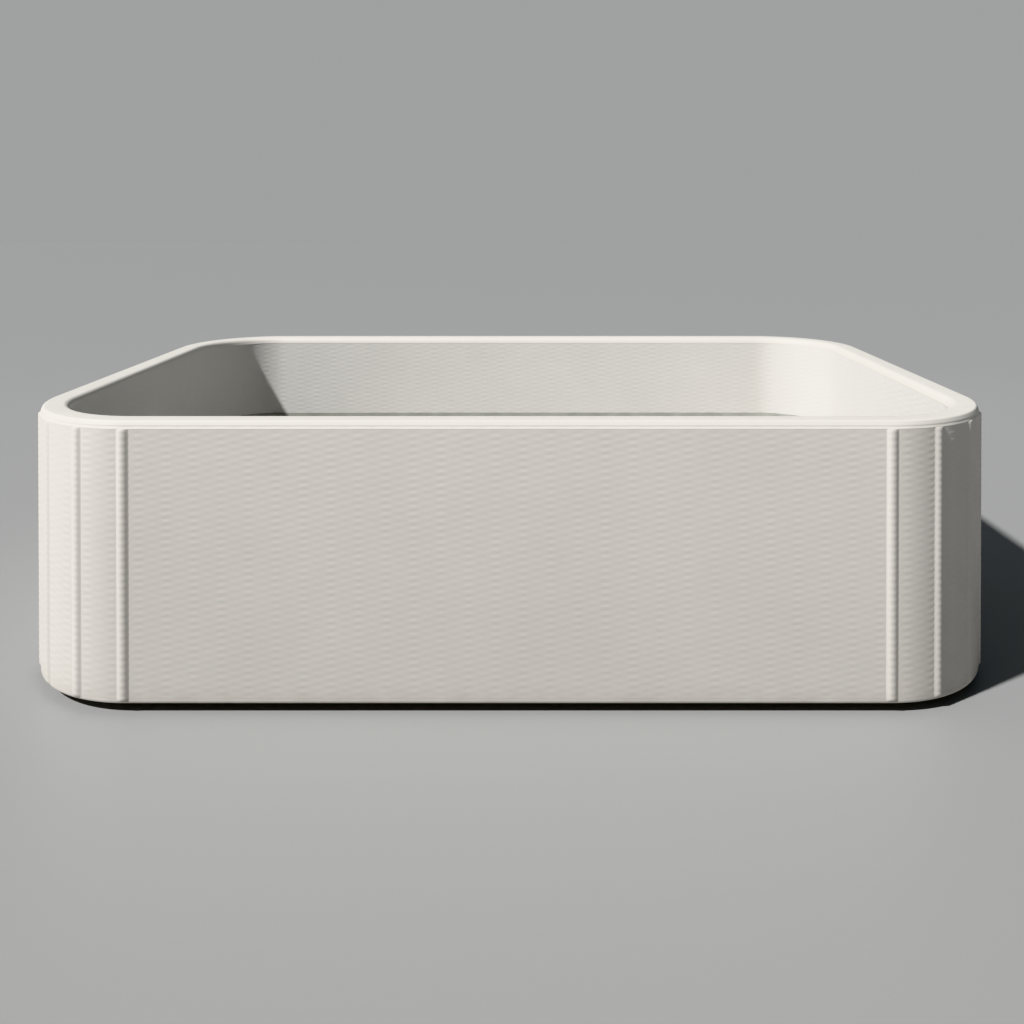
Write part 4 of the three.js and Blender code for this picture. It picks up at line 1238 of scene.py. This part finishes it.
def ball_arc(radius, mouth, steps):
    """Half a ball's outline, (radius, along), between the two mouths of its bore."""
    start = math.asin(mouth / radius)
    turns = [start + (math.pi - 2 * start) * i / steps for i in range(steps + 1)]
    return [(radius * math.sin(t), -radius * math.cos(t)) for t in turns]


def peg(name, low, high, radius, *ease):
    """A round solid upright on the lever's axis, between two heights."""
    corners = [(0, low), (radius, low), (radius, high, *ease), (0, high)]
    return turned(name, "z", STEM_AXIS, corners, STEM_SIDES)[0]


spigot_root = housing_high.y - SPIGOT_LENGTH
thread_root = DRAIN_TUBE - THREAD_DEPTH
thread_count = round(SPIGOT_LENGTH / THREAD_PITCH * THREAD_STEPS)
spigot_wall = [(thread_root, spigot_root + SPIGOT_LENGTH * i / thread_count)
               for i in range(1, thread_count + 1)]
chamber = [(r, BALL_Y + a) for r, a in reversed(ball_arc(CAVITY, DRAIN_BORE, CAVITY_STEPS))]
neck = HOUSING - COLLAR_INSET
low_collar = housing_low.y + COLLAR
high_collar = spigot_root - COLLAR
socket_end = tube_high.y + FIT_GAP
drain_body, spots = turned("drain_housing", "y", DRAIN_ORIGIN, eased([
    (DRAIN_HOLE, housing_low.y), (HOUSING, housing_low.y, COLLAR_EASE), (HOUSING, low_collar, COLLAR_EASE),
    (neck, low_collar, FINE_EASE), (neck, high_collar, FINE_EASE), (HOUSING, high_collar, COLLAR_EASE),
    (HOUSING, spigot_root, COLLAR_EASE), (thread_root, spigot_root, FINE_EASE)])
    + spigot_wall + [(DRAIN_BORE, housing_high.y)] + chamber
    + [(DRAIN_BORE, socket_end), (DRAIN_HOLE, socket_end)])
raise_waves(drain_body, spots, thread_root, spigot_root + THREAD_FROM_ROOT, housing_high.y - THREAD_FROM_END,
            THREAD_DEPTH, round_it=-1, along_it=1 / THREAD_PITCH)
boss = peg("boss", DRAIN_AXIS[1] + CAVITY + BOSS_START, housing_high.z, STEM_BOSS, COLLAR_EASE)
stem_bore = peg("stem_bore", DRAIN_AXIS[1] + CAVITY / 2, housing_high.z + CUT_PAST, STEM_BORE)
combine(drain_body, "UNION", boss)
combine(drain_body, "DIFFERENCE", stem_bore)
dress(drain_body, "tub", "fitting", plastic, "drain_valve_body")


# Drain ball
# The bored steel ball that opens and shuts the drain, with the stem that the lever turns.
# Its bore lies across the tube while the valve is shut.
BALL = (ball_high.y - ball_low.y) / 2
BALL_STEPS = 24
BALL_SIDES = 64
BALL_STEM = 0.0045
BALL_STEM_EASE = 0.0006
ball, _ = turned("drain_sphere", "x", (DRAIN_AXIS[0], BALL_Y, DRAIN_AXIS[1]),
                 ball_arc(BALL, DRAIN_BORE, BALL_STEPS), BALL_SIDES)
stem = peg("stem", DRAIN_AXIS[1] + (DRAIN_BORE + BALL) / 2, ball_high.z, BALL_STEM, BALL_STEM_EASE)
combine(ball, "UNION", stem)
dress(ball, "drain_lever", "steel", steel, "drain_ball")


# Drain lever
# The red lever on the ball's stem; it lies along the wall when shut and points outwards when open.
# Moulded plastic with rounded edges and a raised rib down its middle.
LEVER_COLOUR = (0.360, 0.040, 0.030, 1.0)
LEVER_RUBBED = (0.430, 0.075, 0.055, 1.0)
LEVER_EASE = 0.0015
LEVER_STEPS = 16
LEVER_WAYS = ((1, 0, 0), (0, 1, 0), (0, 0, 1))
RIB_WIDTH = 0.005
RIB_RISE = 0.0018
RIB_EASE = 0.0009
RIB_FROM_STEM = 0.016
RIB_FROM_END = 0.010
STEM_CLEAR = 0.0048
lever_low, lever_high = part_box("drain_lever")
lever_red = moulded_material("lever_red", LEVER_COLOUR, LEVER_RUBBED)
lever_outline = stadium((lever_high.x - lever_low.x) / 2, (lever_high.y - lever_low.y) / 2, LEVER_STEPS)
lever = bar("drain_handle", lever_outline, soft_levels(lever_low.z, lever_high.z, LEVER_EASE, soft_foot=True),
            *LEVER_WAYS, ((lever_low.x + lever_high.x) / 2, BALL_Y, 0))
rib_from, rib_to = DRAIN_AXIS[0] + RIB_FROM_STEM, lever_high.x - RIB_FROM_END
rib = bar("lever_rib", stadium((rib_to - rib_from) / 2, RIB_WIDTH / 2, GRIP_STEPS),
          soft_levels(lever_high.z - LEVER_EASE, lever_high.z + RIB_RISE, RIB_EASE),
          *LEVER_WAYS, ((rib_from + rib_to) / 2, BALL_Y, 0))
lever_hole = peg("lever_hole", lever_low.z - CUT_PAST, lever_high.z + CUT_PAST, STEM_CLEAR)
combine(lever, "UNION", rib)
combine(lever, "DIFFERENCE", lever_hole)
dress(lever, "drain_lever", "lever", lever_red, "drain_lever")


# Drain lever nut
# The small steel hexagon nut that holds the lever on its stem.
# Plain stock with chamfered corners.
LEVER_NUT_CHAMFER = 0.0008
lever_nut_low, lever_nut_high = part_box("drain_lever_nut")
LEVER_NUT = lever_nut_high.y - lever_nut_low.y
lever_nut, _ = turned("lever_locknut", "z", STEM_AXIS, nut_profile(
    STEM_CLEAR, LEVER_NUT / 2, lever_nut_low.z, lever_nut_high.z, LEVER_NUT_CHAMFER),
    ROUND_SIDES, hexagon(LEVER_NUT))
dress(lever_nut, "drain_lever", "steel", steel, "drain_lever_nut")


# Drain cap
# The screw cap over the drain's spigot, ribbed for the hand.
# Moulded dark plastic, pulled straight off along its thread's axis.
OUTLET_BORE = 0.0173
OUTLET_WALL = 0.004
OUTLET_RIBS = 28
OUTLET_SIDES = 6 * OUTLET_RIBS
drain_cap_low, drain_cap_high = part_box("drain_cap")
OUTLET_CAP = (drain_cap_high.x - drain_cap_low.x) / 2 - RIB_DEPTH
cap_floor = drain_cap_high.y - OUTLET_WALL
drain_cap, spots = turned("drain_lid", "y", DRAIN_ORIGIN, [
    (0, cap_floor), (OUTLET_BORE, cap_floor), (OUTLET_BORE, drain_cap_low.y, LIP_EASE),
    (OUTLET_CAP, drain_cap_low.y, COLLAR_EASE), (OUTLET_CAP, drain_cap_high.y, EASE),
    (0, drain_cap_high.y)], OUTLET_SIDES)
raise_waves(drain_cap, spots, OUTLET_CAP, drain_cap_low.y, drain_cap_high.y, RIB_DEPTH, round_it=OUTLET_RIBS)
dress(drain_cap, "drain_cap", "fitting", plastic, "drain_cap")
